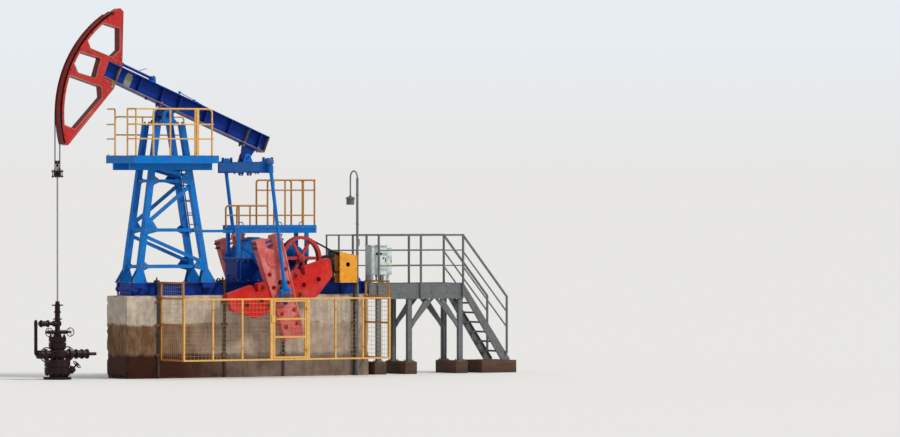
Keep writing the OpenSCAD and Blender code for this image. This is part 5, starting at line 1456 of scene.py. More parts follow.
def build_cranks():
    half, tip, reach = 0.35, 0.26, 1.98
    inner0, inner1 = half + (tip - half) * 0.46 / reach, half + (tip - half) * 1.12 / reach
    outline = [(inner0, -0.46), (0.58, -0.44), (0.62, -0.62), (0.7, -0.62), (0.74, -0.43),
               (1.43, -0.43), (1.46, -0.5), (1.41, -0.86), (0.86, -1.21), (0.7, -1.21),
               (inner1, -1.12)]
    rims, rings, hubs = (Shape(CRANK_PLACE) for _ in range(3))
    places, nuts = [], []
    mouth = [(0.105 * cos(a), 0.35 + 0.105 * sin(a)) for a in span(pi, 2 * pi, 0.26)]
    body = [(-half, 0.54), (-0.105, 0.54)] + mouth + [
        (0.105, 0.54), (half, 0.54), (half, 0), (tip, -reach), (-tip, -reach), (-half, 0)]
    holes = [circle(0, 0, 0.1105, 36)] + [
        circle(0, -0.925 + d, 0.06, 24) for d in (0.33, 0.165, -0.165)]
    edge_holes = [(half + (tip - half) * d / reach - 0.12, -d)
                  for d in (0.33, 0.66, 0.99, 1.32, 1.65)]
    for x, z in edge_holes:
        holes += [circle(s * x, z, 0.042, 18) for s in SIDES]
    arms = Shape(CRANK_PLACE)
    for side in SIDES:
        arms.plate(body, side * CRANK_Y, side * (CRANK_Y + CRANK_T), holes)
        arms.turned((0, side * 0.793, 0), (0, side, 0), [(0, 0.17), (0.008, 0.18), (0.034, 0.18)],
                    36)
        arms.turned((0, side * 1.02, -0.925), (0, side, 0),
                    [(0, 0.12), (0.012, 0.12), (0.012, 0.08), (0.042, 0.08)], 32)
        for s in SIDES:
            strip = [(s * half, 0.54), (s * half, 0), (s * tip, -reach),
                     (s * (tip - 0.045), -reach), (s * (half - 0.045), 0),
                     (s * (half - 0.045), 0.54)]
            for y in (0.811, 1.024):
                arms.plate(strip, side * y, side * (y + 0.015))
        arms.box((-tip, side * 1.024, -reach), (tip, side * 1.037, -reach + 0.04))
    piece = arms.finish("crank_castings", "crank", "crank red", "faded_red")
    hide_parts("crank_arms")
    for side in SIDES:
        for s in SIDES:
            flat = [(s * x, z) for x, z in outline][::s]
            for y, way in ((1.015, 1), (0.835, -1)):
                rim(rims, flat, 0.032, side * y - side * 0.002 * way, side * (y + 0.009 * way))
            for x, z in ((0.6, -0.843), (1.02, -0.833)):
                ring = circle(s * x, z, 0.092, 24)
                hole = circle(s * x, z, 0.061, 24)[::-1]
                rings.plate(ring, side * 1.013, side * 1.026, [hole])
                rings.plate(ring, side * 0.826, side * 0.837, [hole])
            for x, z in ((0.46, -0.56), (0.44, -1.02)):
                places.append(((s * x, side * 1.016, z), (0, side, 0)))
                rings.box((s * x - 0.06, side * 1.012, z - 0.06),
                          (s * x + 0.06, side * 1.022, z + 0.06), 0.004)
            for x, z in edge_holes:
                rings.plate(circle(s * x, z, 0.058, 18), side * 1.024, side * 1.03,
                            [circle(s * x, z, 0.0425, 18)[::-1]])
        hubs.turned((0, side * 1.026, 0), (0, side, 0),
                    [(0, 0.205), (0.012, 0.205), (0.018, 0.195), (0.018, 0.135), (0.01, 0.13)], 40)
        hubs.box((-0.028, side * 1.02, 0.1), (0.028, side * 1.045, 0.165), 0.003)
        for z in (0.36, 0.47):
            for y in (0.875, 0.975):
                hubs.rod((-0.37, side * y, z), AHEAD, 0.74, 0.02, 12)
                for s in SIDES:
                    nuts.append(((s * 0.352, side * y, z), (s, 0, 0)))
        for z in (0.3, 0.2):
            for s in SIDES:
                hubs.box((s * 0.22, side * 1.022, z - 0.05), (s * 0.3, side * 1.034, z + 0.02),
                         0.004)
    rims.finish("weight_rims", "crank", "weight red", "red_paint")
    rings.finish("crank_hole_rings", "crank", "weight red", "red_paint")
    hubs.finish("crank_hubs", "crank", "crank red", "faded_red")
    bolts("weight_bolts", places, "crank", 0.085, 0.045, 0.08, finish="rusty steel",
          place=CRANK_PLACE)
    bolts("crank_clamp_nuts", nuts, "crank", 0.062, 0.034, 0.06, finish="rusty steel",
          place=CRANK_PLACE)
    ends = Shape(CRANK_PLACE)
    for side in SIDES:
        ends.turned((0, side * 1.026, 0), (0, side, 0),
                    [(0, 0.104), (0.004, 0.104), (0.006, 0.098), (0.006, 0.02), (-0.01, 0.012)], 32)
    ends.finish("shaft_ends", "crank", "bright steel", "bright_steel")


def fit_drive(context):
    x, z = MOTOR.x, MOTOR.z
    motor = Shape()
    motor.turned(
        (x, -0.28, z), FAR, [(0, 0.06), (0, 0.13), (0.03, 0.172), (0.062, 0.178), (0.064, 0.192),
            (0.58, 0.192), (0.582, 0.212), (0.69, 0.212), (0.72, 0.19), (0.722, 0.03)], 40)
    motor.rod((x, BELT_Y - 0.06, z), FAR, 0.12, 0.136, 28)
    motor.rod((x, BELT_Y - 0.06, z), FAR, 0.36, 0.03, 20)
    for dy in (-0.06, 0.05):
        motor.rod((x, BELT_Y + dy, z), FAR, 0.01, 0.146, 32)
    for s in SIDES:
        motor.box((x + s * 0.11, -0.17, 2.34), (x + s * 0.19, -0.06, 2.36), 0.004)
        motor.box((x + s * 0.11, 0.2, 2.34), (x + s * 0.19, 0.31, 2.36), 0.004)
        for y in (-0.14, 0.23):
            motor.plate([(x + s * 0.07, 2.345), (x + s * 0.185, 2.345), (x + s * 0.185, 2.4),
                         (x + s * 0.155, 2.52), (x + s * 0.07, 2.48)][::s], y, y + 0.05)
        rail = x + s * 0.15
        motor.box((rail - 0.04, -0.51, 2.25), (rail + 0.04, 0.5, 2.265), 0.002)
        motor.box((rail - 0.008, -0.505, 2.26), (rail + 0.008, 0.495, 2.33))
        motor.box((rail - 0.045, -0.51, 2.325), (rail + 0.045, 0.5, 2.34), 0.002)
    motor.box((x - 0.11, -0.15, 2.835), (x + 0.11, 0.06, 2.95), 0.012)
    motor.box((x - 0.118, -0.158, 2.95), (x + 0.118, 0.068, 2.972), 0.006)
    motor.ring((x, 0.17, 2.9), AHEAD, 0.035, 0.009, 20, 8)
    piece = motor.finish("motor_with_cowl", "frame", "motor grey", "dark_steel")
    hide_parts("motor")
    fin = Shape()
    fin.box((0.186, -0.2, -0.0028), (0.222, 0.29, 0.0028))
    wheel("motor_fins", fin, context.scene.pumpjack_sizes.fin_count, (x, 0.0, z), "motor grey")
    grille = Shape()
    for r in (0.06, 0.1, 0.14, 0.175):
        grille.ring((x, 0.443, z), FAR, r, 0.004, 32, 6)
    for a in span(0, pi, pi / 4)[:-1]:
        c, s = cos(a) * 0.18, sin(a) * 0.18
        grille.tube([(x - c, 0.447, z - s), (x + c, 0.447, z + s)], 0.004, 6)
    grille.finish("motor_grille", "frame", "motor grey", "dark_steel")

    guard = Shape()
    x0, x1, y0, y1 = 2.334, 2.814, -0.75, -0.51
    for y in (y0, y1 - 0.004):
        guard.box((x0, y - 0.004, 2.222), (x0 + 0.022, y + 0.006, 2.955), 0.002)
    guard.plate([(x0, 2.955), (x1, 2.855), (x1, 2.868), (x0, 2.968)], y0 - 0.003, y1 + 0.002)
    guard.box((x0 + 0.01, y0 - 0.012, 2.222), (x1 - 0.01, y0 + 0.002, 2.246), 0.002)
    ring = circle(x, z, 0.075, 28)
    guard.plate(ring, y0 - 0.004, y0 + 0.001, [circle(x, z, 0.054, 28)])
    for zz in (2.36, 2.5, 2.78):
        guard.box((x0 + 0.03, y0 - 0.0035, zz), (x1 - 0.03, y0 + 0.001, zz + 0.006))
    guard.finish("guard_folds", "frame", "guard amber", "amber_paint")
    screws = [((sx, y0 - 0.001, sz), NEAR)
              for sx in (x0 + 0.035, x1 - 0.03) for sz in (2.27, 2.55, 2.82)]
    bolts("guard_screws", screws, "frame", 0.022, 0.01, 0.008)

    cap = Shape()
    cap.turned((FAST.x, BELT_Y - 0.086, FAST.z), NEAR,
               [(0, 0.078), (0.012, 0.07), (0.014, 0.035), (0.03, 0.033)], 28)
    for a in range(0, 360, 60):
        c, s = cos(radians(a)), sin(radians(a))
        turn = Vector((-s, 0, c)) * 0.046
        p = Vector((FAST.x + c * 0.08, 0, FAST.z + s * 0.08))
        q = Vector((FAST.x + c * 0.46, 0, FAST.z + s * 0.46))
        thin = turn * 0.75
        cap.plate([(p + turn).xz, (p - turn).xz, (q - thin).xz, (q + thin).xz], BELT_Y - 0.006,
                  BELT_Y + 0.006)
    cap.finish("pulley_cap", "pulley", "pulley red", "red_paint")
    bolts("pulley_bolts", round_places((FAST.x, BELT_Y - 0.087, FAST.z), NEAR, 0.058, 6), "pulley",
          0.026, 0.012, 0.014)

    gear = Shape()
    for side in SIDES:
        for gx in (-0.12, 0.66, 0.95, 1.6):
            gear.plate(oblong(gx - 0.008, gx + 0.008, 2.3, 2.775), side * 0.286, side * 0.325)
        gear.turned((SHAFT.x, side * 0.358, SHAFT.z), (0, side, 0),
                    [(0, 0.18), (0.018, 0.18), (0.026, 0.165), (0.026, 0.125), (0.012, 0.118)], 40)
        gear.turned((FAST.x, side * 0.358, FAST.z), (0, side, 0),
                    [(0, 0.105), (0.014, 0.105), (0.02, 0.09), (0.02, 0.055)], 32)
        for gx in (-0.18, 1.64):
            gear.plate(
                [(gx - 0.05, 2.845), (gx + 0.05, 2.845), (gx + 0.04, 2.93), (gx - 0.04, 2.93)],
                side * 0.255, side * 0.275, [circle(gx, 2.893, 0.022, 14)])
    gear.box((0.8, -0.16, 3.07), (1.12, 0.16, 3.16), 0.01)
    gear.box((0.77, -0.19, 3.14), (1.15, 0.19, 3.165), 0.006)
    gear.turned(
        (1.5, 0.0, 2.98), UP, [(0, 0.028), (0.12, 0.028), (0.12, 0.05), (0.17, 0.05), (0.19, 0.03)],
        20)
    gear.turned((-0.205, 0.16, 2.4), BACK, [(0, 0.035), (0.03, 0.035), (0.03, 0.02), (0.055, 0.02)],
                18)
    gear.finish("gearbox_fittings", "frame", "cover blue", "navy_paint")
    loops = Shape()
    for gx in (-0.02, 1.02, 1.62):
        loops.tube([(gx - 0.06, -0.15, GEAR_DECK_Z), (gx - 0.06, -0.15, GEAR_DECK_Z + 0.14),
                    (gx + 0.06, -0.15, GEAR_DECK_Z + 0.14), (gx + 0.06, -0.15, GEAR_DECK_Z)], 0.011,
                   8, 0.05)
    bars = Shape()
    bars.box((-0.25, -0.285, GEAR_DECK_Z + 0.0005), (-0.244, 0.285, GEAR_DECK_Z + 0.006))
    row("gearbox_tread_bars", bars, 62, 0.0352, "tower blue")
    loops.finish("deck_loops", "frame", "tower blue", "blue_paint")
    ribs = Shape()
    for side in SIDES:
        for gx in span(-0.16, 1.84, 0.4):
            ribs.box((gx - 0.005, side * 0.262, GEAR_DECK_Z - 0.115),
                     (gx + 0.005, side * 0.304, GEAR_DECK_Z - 0.006))
        ribs.box((-0.27, side * 0.302, GEAR_DECK_Z - 0.004),
                 (1.95, side * 0.306, GEAR_DECK_Z + 0.07), 0.001)
    ribs.finish("gearbox_deck_ribs", "frame", "tower blue", "blue_paint")


def fit_sides():
    box = Shape()
    y = -0.38
    box.box((3.43, y - 0.018, 2.41), (3.82, y + 0.001, 3.05), 0.008)
    box.plate(oblong(3.385, 3.865, 3.088, 3.115), y - 0.035, -0.1)
    box.box((3.875, -0.336, 2.41), (3.995, -0.319, 2.99), 0.006)
    box.plate(oblong(3.85, 4.02, 3.028, 3.045), -0.345, -0.11)
    for z in (2.44, 2.98):
        box.tube([(3.425, y - 0.012, z), (3.425, y - 0.012, z + 0.07)], 0.01, 10)
    for x in (3.46, 3.79):
        box.box((x - 0.025, -0.36, 2.2), (x + 0.025, -0.14, 2.392))
    box.finish("cabinet_doors", "frame", "cabinet grey", "pale_paint")
    knobs = Shape()
    for x, z, r in ((3.55, 2.9, 0.028), (3.66, 2.9, 0.028), (3.74, 2.8, 0.02)):
        knobs.turned((x, y - 0.017, z), NEAR, [(0, r), (0.018, r), (0.024, r * 0.8)], 18)
    knobs.box((3.79, y - 0.032, 2.7), (3.805, y - 0.016, 2.8), 0.004)
    knobs.box((3.98, -0.35, 2.68), (3.99, -0.335, 2.76), 0.003)
    for x in (3.5, 3.62, 3.74):
        knobs.turned(
            (x, -0.25, 2.393), DOWN, [(0, 0.028), (0.04, 0.028), (0.04, 0.018), (0.15, 0.018)], 14)
    knobs.finish("cabinet_knobs", "frame", "dark knob", "black_iron")
    tag = Shape()
    tag.plate(oblong(3.895, 3.955, 2.6, 2.67), -0.3385, -0.335)
    tag.finish("cabinet_tag", "frame", "tag yellow", "yellow_paint")

    lamp = Shape()
    hx, hy = 2.88, -0.3
    lamp.turned(
        (hx, hy, 4.3), DOWN, [(0, 0.035), (0.03, 0.05), (0.05, 0.098), (0.06, 0.118), (0.075, 0.12),
            (0.08, 0.1)], 28)
    for z in (4.12, 4.17, 4.22):
        lamp.ring((hx, hy, z), UP, 0.099, 0.005, 28, 6)
    lamp.box((2.84, -0.69, 3.1), (2.92, -0.66, 3.26), 0.006)
    lamp.turned((2.88, -0.64, 2.25), UP, [(0, 0.075), (0.012, 0.075), (0.014, 0.04), (0.06, 0.036)],
                20)
    for z in (2.9, 3.6, 4.3):
        lamp.turned(
            (2.88, -0.64, z), UP, [(0, 0.033), (0.004, 0.038), (0.03, 0.038), (0.034, 0.033)], 18)
    lamp.finish("lamp_head", "frame", "lamp grey", "grey_paint")

    clips = Shape()
    for x in (-1.61, -0.82, 1.7, 2.44):
        for z in (0.7, 1.6):
            clips.box((x - 0.035, -1.728, z), (x + 0.035, -1.716, z + 0.03), 0.003)
            clips.box((x - 0.035, 1.702, z), (x + 0.035, 1.7195, z + 0.03), 0.003)
    for z in (0.6, 1.7):
        for x in FENCE_END_X:
            clips.box((x - 0.018, -1.705, z), (x + 0.018, -1.665, z + 0.03), 0.003)
    clips.finish("fence_clips", "frame", "rail ochre", "yellow_paint")
    ties = Shape()
    for side in SIDES:
        for z in (0.62, 1.35):
            ties.tube([(-2.37, side * 0.545, z), (-2.37, side * 0.532, z)], 0.018, 8)
            ties.tube([(3.16, side * 0.545, z), (3.16, side * 0.532, z)], 0.018, 8)
    ties.finish("fence_anchors", "frame", "rusty steel", "dark_steel")
    latch = Shape()
    latch.plate(oblong(0.012, 0.09, 1.34, 1.47), -1.7225, -1.7195)
    latch.tube([(0.03, -1.7285, 1.41), (0.085, -1.7285, 1.41)], 0.0055, 8)
    for z in (0.67, 1.64):
        latch.plate([(0.8, z - 0.03), (0.885, z - 0.015), (0.885, z + 0.015), (0.8, z + 0.03)],
                    -1.7215, -1.7185)
    latch.finish("gate_latch", "gate", "rail ochre", "yellow_paint")


def build_walkway(context):
    r = context.scene.pumpjack_sizes.rail / 2
    pitch = context.scene.pumpjack_sizes.slat_pitch
    rail = Shape()
    top = WALK_Z + WALK_RAIL_RISE
    foot = WALK_Z - 0.33
    for y, xs in ((-WALK_RAIL_Y, (3.57, 4.74, 5.92)), (WALK_RAIL_Y, (3.38, 3.76, 4.94, 5.92))):
        for x in xs:
            rail.box((x - r, y - r, foot), (x + r, y + r, top - r), 0.004)
        rail.box((xs[0] - r, y - r * 1.02, top - r * 1.1), (xs[-1] + r, y + r * 1.02, top + r),
                 0.004)
        for rise in WALK_RAIL_LEVELS:
            rail.bar((xs[0], y, WALK_Z + rise), (xs[-1], y, WALK_Z + rise), r * 1.3)
    y = 0.458
    for x in (2.65, 2.99):
        rail.tube([(x, y, FOUND_H + 0.001), (x, y, top - 0.003)], r)
        rail.box((x - 0.05, y - 0.05, FOUND_H + 0.0005), (x + 0.05, y + 0.05, FOUND_H + 0.012),
                 0.003)
    for rise in (WALK_RAIL_RISE, *WALK_RAIL_LEVELS):
        rail.tube([(2.63, y, WALK_Z + rise), (3.52, y, WALK_Z + rise)], r * 0.85)
    piece = rail.finish("walkway_bent_railing", "frame", "walkway grey", "grey_paint", SMOOTH_RAIL)
    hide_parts("walkway_railing")

    slat = Shape()
    slat.box((WALK_X0 + 0.02, -0.375, WALK_Z - 0.001), (WALK_X0 + 0.026, 0.375, WALK_Z + 0.0085))
    row("walkway_grating", slat, int((WALK_X1 - WALK_X0 - 0.05) / pitch), pitch, "walkway grey")
    trim = Shape()
    for side in SIDES:
        trim.box((WALK_X0, side * 0.392, WALK_Z - 0.001),
                 (WALK_X1 - 0.005, side * 0.398, WALK_Z + 0.012))
        trim.box((WALK_X0 + 0.002, side * 0.438, WALK_Z - 0.25),
                 (WALK_X1 - 0.002, side * 0.444, WALK_Z - 0.238))
        for x in span(WALK_X0 + 0.12, WALK_X1 - 0.12, 0.24):
            trim.box((x - 0.004, side * 0.436, WALK_Z - 0.368),
                     (x + 0.004, side * 0.4435, WALK_Z - 0.25))
    trim.finish("walkway_ribs", "frame", "walkway grey", "grey_paint")

    legs = Shape()
    for side in SIDES:
        for x in (3.6, 4.45, 5.87):
            legs.box((x - 0.066, side * 0.416, FOOT_H + 0.0005),
                     (x + 0.066, side * 0.424, WALK_Z - 0.371), 0.001)
            for s in SIDES:
                legs.box((x + s * 0.058, side * 0.35, FOOT_H + 0.0005),
                         (x + s * 0.066, side * 0.424, WALK_Z - 0.371), 0.001)
        for x, way in ((4.45, 1), (5.87, -1)):
            legs.bar((x, side * 0.385, WALK_Z - 1.1),
                     (x + way * 0.52, side * 0.385, WALK_Z - 0.371), 0.056, 0.098)
    legs.finish("walkway_leg_channels", "frame", "walkway grey", "grey_paint")

    stringer, rails = Shape(), Shape()
    run = 1.3
    outline = [(WALK_X1 + 0.001, WALK_Z - 0.001), (WALK_X1 + 0.001, WALK_Z - 0.27),
               (WALK_X1 + run - 0.23, FOOT_H), (WALK_X1 + run, FOOT_H),
               (WALK_X1 + run, FOOT_H + 0.04)]
    for side in SIDES:
        y0, y1 = sorted((side * 0.43, side * 0.439))
        stringer.plate(outline, y0, y1)
        y0, y1 = sorted((side * 0.392, side * 0.4395))
        rim(stringer, outline, 0.012, y0, y1)
        y = side * WALK_RAIL_Y
        foot_x = 7.15
        rails.box((foot_x - r, y - r, FOOT_H + 0.16), (foot_x + r, y + r, 1.85), 0.004)
        for start, end in ((top - 0.012, 1.845), (top - 0.4, 1.475), (top - 0.77, 1.105)):
            rails.bar((5.92, y, start), (foot_x, y, end), r * (2.0 if end > 1.8 else 1.3))
    piece = stringer.finish("stair_stringers", "frame", "walkway grey", "grey_paint")
    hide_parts("stair_sides")
    rails.finish("stair_handrails", "frame", "walkway grey", "grey_paint")

    tread = Shape()
    places = []
    for i in range(1, 8):
        z = WALK_Z - 0.235 * i
        x1 = WALK_X1 + 0.16 * i - 0.002
        x0 = x1 - 0.19
        for x in (x0, x1 - 0.008):
            tread.box((x, -0.391, z - 0.035), (x + 0.008, 0.391, z + 0.004), 0.001)
        for s in SIDES:
            tread.box((x0 + 0.004, s * 0.383, z - 0.034), (x1 - 0.004, s * 0.391, z + 0.003))
        for k in range(23):
            y = -0.374 + 0.748 * k / 22
            tread.box((x0 + 0.006, y - 0.0025, z - 0.028), (x1 - 0.006, y + 0.0025, z + 0.002))
        for k in (1, 2, 3):
            tread.box((x0 + 0.047 * k - 0.003, -0.385, z - 0.004),
                      (x0 + 0.047 * k + 0.003, 0.385, z + 0.003))
        places += [((x0 + 0.05, 0.44, z - 0.016), FAR), ((x0 + 0.14, 0.44, z - 0.016), FAR)]
    piece = tread.finish("stair_steps", "frame", "walkway grey", "grey_paint")
    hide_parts("stair_treads")
    bolts("tread_bolts", both_sides(places), "frame", 0.022, 0.01, 0.012)


def handwheel(shape, centre, axis, radius, thick):
    """A ring with a hub and four spokes."""
    base, along, side, up = axes_at(centre, axis)
    shape.ring(base, along, radius - thick, thick, 32, 8)
    shape.rod(base - along * 0.018, along, 0.036, radius * 0.22, 16)
    for c, s in turns(4, 0.4):
        out = side * c + up * s
        shape.bar(base + out * radius * 0.12, base + out * (radius - thick), thick * 1.3, thick)


def build_well():
    x = WELL_X
    well = Shape()
    well.turned((x, 0, 0), UP, [
        (0, 0.04), (0, 0.33), (0.06, 0.33), (0.06, 0.198), (0.13, 0.198), (0.13, 0.304),
        (0.285, 0.304), (0.285, 0.277), (0.305, 0.277), (0.305, 0.304), (0.46, 0.304),
        (0.46, 0.165), (0.51, 0.165), (0.515, 0.2), (0.53, 0.218), (0.66, 0.218), (0.675, 0.2),
        (0.68, 0.165), (0.751, 0.165), (0.751, 0.205), (0.865, 0.205), (0.865, 0.178),
        (0.885, 0.178), (0.885, 0.205), (1.0, 0.205), (1.0, 0.075), (1.08, 0.075), (1.08, 0.04),
        (0, 0.04)], 40, True)
    for s in SIDES:
        well.turned((x, 0, 0.59), (s, 0, 0), [
            (0.12, 0.095), (0.29, 0.095), (0.29, 0.13), (0.33, 0.13), (0.33, 0.06)], 32)
    piece = well.finish("wellhead_castings", "frame", "wellhead iron", "black_iron")
    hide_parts("wellhead_body")
    places = []
    for z, r, n in ((0.16, 0.265, 12), (0.46, 0.265, 12), (0.781, 0.172, 8), (1.0, 0.172, 8)):
        places += round_places((x, 0, z), UP, r, n)
    bolts("well_studs", [p for p in places if p[0][2] > 0.3], "frame", 0.052, 0.034, 0.06,
          finish="wellhead iron")
    low = [((p[0], p[1], 0.13), DOWN) for p, _ in round_places((x, 0, 0.13), UP, 0.265, 12)]
    low += [((p[0], p[1], 0.751), DOWN) for p, _ in round_places((x, 0, 0.75), UP, 0.184, 8)]
    bolts("well_nuts", low, "frame", 0.046, 0.03, 0.04, finish="wellhead iron")

    valve = Shape()
    z = 0.59
    valve.turned(
        (x - 0.33, 0, z), BACK, [(0, 0.075), (0.06, 0.075), (0.07, 0.1), (0.19, 0.1), (0.2, 0.075)],
        28)
    valve.box((x - 0.51, -0.085, z - 0.095), (x - 0.395, 0.085, z + 0.095), 0.02)
    valve.turned(
        (x - 0.453, -0.08, z), NEAR, [(0, 0.05), (0.03, 0.05), (0.04, 0.028), (0.19, 0.02)], 20)
    handwheel(valve, (x - 0.418, -0.27, z), NEAR, 0.18, 0.014)
    valve.tube([(x - 0.5, 0, z), (x - 0.565, 0, z), (x - 0.565, 0, z + 0.1), (x - 0.565, 0, 1.27)],
               0.04, 16, 0.05)
    valve.rod((x - 0.565, 0, 0.9), UP, 0.09, 0.0435, 8)
    valve.turned(
        (x + 0.33, 0, z), AHEAD, [(0, 0.075), (0.14, 0.075), (0.14, 0.115), (0.175, 0.115),
            (0.175, 0.09), (0.29, 0.09), (0.29, 0.115), (0.325, 0.115), (0.325, 0.09),
            (0.425, 0.09), (0.425, 0.115), (0.46, 0.115), (0.46, 0.038), (0.68, 0.038)], 28)
    valve.turned((x + 0.4, 0.06, z), FAR, [(0, 0.045), (0.05, 0.045), (0.06, 0.028), (0.2, 0.02)],
                 20)
    handwheel(valve, (x + 0.4, 0.27, z), FAR, 0.18, 0.014)
    lean = Vector((1.0, 0.0, 0.9)).normalized()
    valve.turned(
        (x + 0.19, -0.06, 0.085), lean, [(0, 0.05), (0.15, 0.05), (0.15, 0.082), (0.26, 0.082),
            (0.26, 0.05), (0.29, 0.045), (0.3, 0.018), (0.4, 0.018)], 24)
    handwheel(valve, Vector((x + 0.19, -0.06, 0.085)) + lean * 0.39, lean, 0.115, 0.011)
    piece = valve.finish("side_outlets", "frame", "wellhead iron", "black_iron")
    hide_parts("wellhead_valves")

    tee = Shape()
    bore, top = 0.0205, 1.83
    tee.turned((x, 0, 1.055), UP, [
        (0, bore), (0, 0.085), (0.095, 0.085), (0.095, 0.062), (0.185, 0.062), (0.2, 0.075),
        (0.31, 0.075), (0.325, 0.062), (0.345, 0.062), (0.345, 0.105), (0.375, 0.105),
        (0.375, 0.062), (0.505, 0.062), (0.505, 0.08), (0.545, 0.08), (0.545, 0.062),
        (0.715, 0.062), (0.715, 0.05), (0.775, 0.05), (0.775, bore), (0, bore)], 32, True)
    for s in SIDES:
        tee.turned((x, 0, 1.11), (s, 0, 0), [(0.05, 0.045), (0.25, 0.045)], 20)
        tee.turned((x, 0, top - 0.09), (s, 0, 0), [(0.04, 0.016), (0.14, 0.016)], 14)
        tee.rod((x + s * 0.24, 0, 1.11), (s, 0, 0), 0.05, 0.03, 16)
        tee.rod((x + s * 0.275, 0.02, 1.11), NEAR, 0.13, 0.022, 16)
        handwheel(tee, (x + s * 0.275, -0.12, 1.11), NEAR, 0.108, 0.01)
    z = 1.31
    tee.turned((x + 0.045, 0, z), AHEAD, [(0, 0.06), (0.032, 0.06), (0.036, 0.05)], 24)
    tee.turned(
        (x + 0.075, 0, z), BACK, [(0.12, 0.072), (0.185, 0.072), (0.185, 0.042), (0.315, 0.042),
            (0.315, 0.085), (0.34, 0.085), (0.34, 0.065), (0.49, 0.065), (0.49, 0.085),
            (0.515, 0.085), (0.515, 0.042), (0.56, 0.042)], 28)
    tee.turned(
        (x - 0.565, 0, z), UP, [(-0.06, 0.0435), (0.05, 0.0435), (0.055, 0.03), (0.09, 0.028)], 20)
    piece = tee.finish("stuffing_tower", "frame", "wellhead iron", "black_iron")
    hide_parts("stuffing_box")
    places = [place for dx in (0.24, 0.44)
              for place in round_places((x - dx, 0, z), BACK, 0.07, 8)]
    bolts("line_bolts", places, "frame", 0.022, 0.014, 0.016, finish="wellhead iron")

    # The ropes hang from where they leave the head down to the carrier
    ropes = Shape()
    rope_top = PIVOT.z - 0.0003
    for s in SIDES:
        ropes.tube([(x, s * ROPE_Y, z) for z in span(4.893, rope_top, 0.07)], ROPE_R, 12)
    piece = ropes.finish("taut_ropes", None, "wire rope", "rope_steel")
    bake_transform(piece)
    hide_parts("bridle_ropes")

    clamp = Shape()
    clamp_z = 4.89
    for s in SIDES:
        clamp.box((x - 0.045, s * 0.022, clamp_z + 0.155),
                  (x + 0.045, s * 0.058, clamp_z + 0.235), 0.006)
        clamp.turned((x, s * ROPE_Y, clamp_z - 0.001), UP,
                     [(0, 0.024), (0.03, 0.022), (0.06, 0.0145)], 18)
        clamp.rod((x, s * ROPE_Y, CARRIER_Z), UP, 0.153, 0.03, 18)
        for dx in (-0.04, 0.04):
            clamp.rod((x + dx, s * 0.165, 4.72), UP, 0.195, 0.011, 10)
    clamp.box((x - 0.062, -0.187, CARRIER_Z), (x + 0.062, 0.187, 4.772), 0.004)
    clamp.box((x - 0.062, -0.187, 4.858), (x + 0.062, 0.187, 4.891), 0.004)
    clamp.rod((x, 0, 4.77), UP, 0.09, 0.05, 24)
    clamp.rod((x, 0, clamp_z - 0.001), UP, 0.15, 0.034, 24)
    piece = clamp.finish("carrier_plates", "rod", "wellhead iron", "black_iron")
    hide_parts("carrier_bar")
    places = [((x + dx, s * 0.059, clamp_z + 0.175 + dz), (0, s, 0))
              for dx in (-0.03, 0.03) for dz in (0, 0.04) for s in SIDES]
    bolts("rod_clamp_bolts", places, "rod", 0.026, 0.014, 0.016, finish="rusty steel")


class PUMPJACK_OT_stage(bpy.types.Operator):
    """Pale floor, soft studio light and the camera at the photograph's angle"""

    bl_idname = "pumpjack.stage"
    bl_label = "Stage and camera"

    def execute(self, context):
        set_stage(context)
        return {"FINISHED"}


class PUMPJACK_OT_paint(bpy.types.Operator):
    """Paint of every piece that keeps the frame's own shape"""

    bl_idname = "pumpjack.paint"
    bl_label = "Paint the frame"

    def execute(self, context):
        paint_frame()
        return {"FINISHED"}


class PUMPJACK_OT_fence_mesh(bpy.types.Operator):
    """Welded wire mesh of the guard fences and the gate"""

    bl_idname = "pumpjack.fence_mesh"
    bl_label = "Fence mesh"

    def execute(self, context):
        weld_fence_mesh(context)
        return {"FINISHED"}


class PUMPJACK_OT_foundation(bpy.types.Operator):
    """Foundation block with a rough cast face and broken edges"""

    bl_idname = "pumpjack.foundation"
    bl_label = "Foundation"

    def execute(self, context):
        cast_foundation()
        return {"FINISHED"}


class PUMPJACK_OT_frame_bolts(bpy.types.Operator):
    """Bolts of the skid, tower feet, gearbox, bearings and walkway"""

    bl_idname = "pumpjack.frame_bolts"
    bl_label = "Frame bolts"

    def execute(self, context):
        bolt_frame(context)
        return {"FINISHED"}


class PUMPJACK_OT_skid_details(bpy.types.Operator):
    """Base plates of the walkway's legs, lugs of the skid and clips of the hold-down bars"""

    bl_idname = "pumpjack.skid_details"
    bl_label = "Skid details"

    def execute(self, context):
        fit_skid()
        return {"FINISHED"}


class PUMPJACK_OT_tower_details(bpy.types.Operator):
    """Gussets of the tower, side rails of its ladder, ribs and tread bars of its platform"""

    bl_idname = "pumpjack.tower_details"
    bl_label = "Tower details"

    def execute(self, context):
        fit_tower()
        return {"FINISHED"}


class PUMPJACK_OT_railings(bpy.types.Operator):
    """Bent tube railings of the tower and the gearbox platform"""

    bl_idname = "pumpjack.railings"
    bl_label = "Railings"

    def execute(self, context):
        bend_railings(context)
        return {"FINISHED"}


class PUMPJACK_OT_head_details(bpy.types.Operator):
    """Horse head with its lips, gussets and bolts, its arc track and the rope anchor"""

    bl_idname = "pumpjack.head_details"
    bl_label = "Horse head details"

    def execute(self, context):
        build_head()
        return {"FINISHED"}


class PUMPJACK_OT_beam_details(bpy.types.Operator):
    """Worn edges, strut, lever and lugs of the walking beam, and its bearing caps"""

    bl_idname = "pumpjack.beam_details"
    bl_label = "Walking beam details"

    def execute(self, context):
        fit_beam()
        return {"FINISHED"}


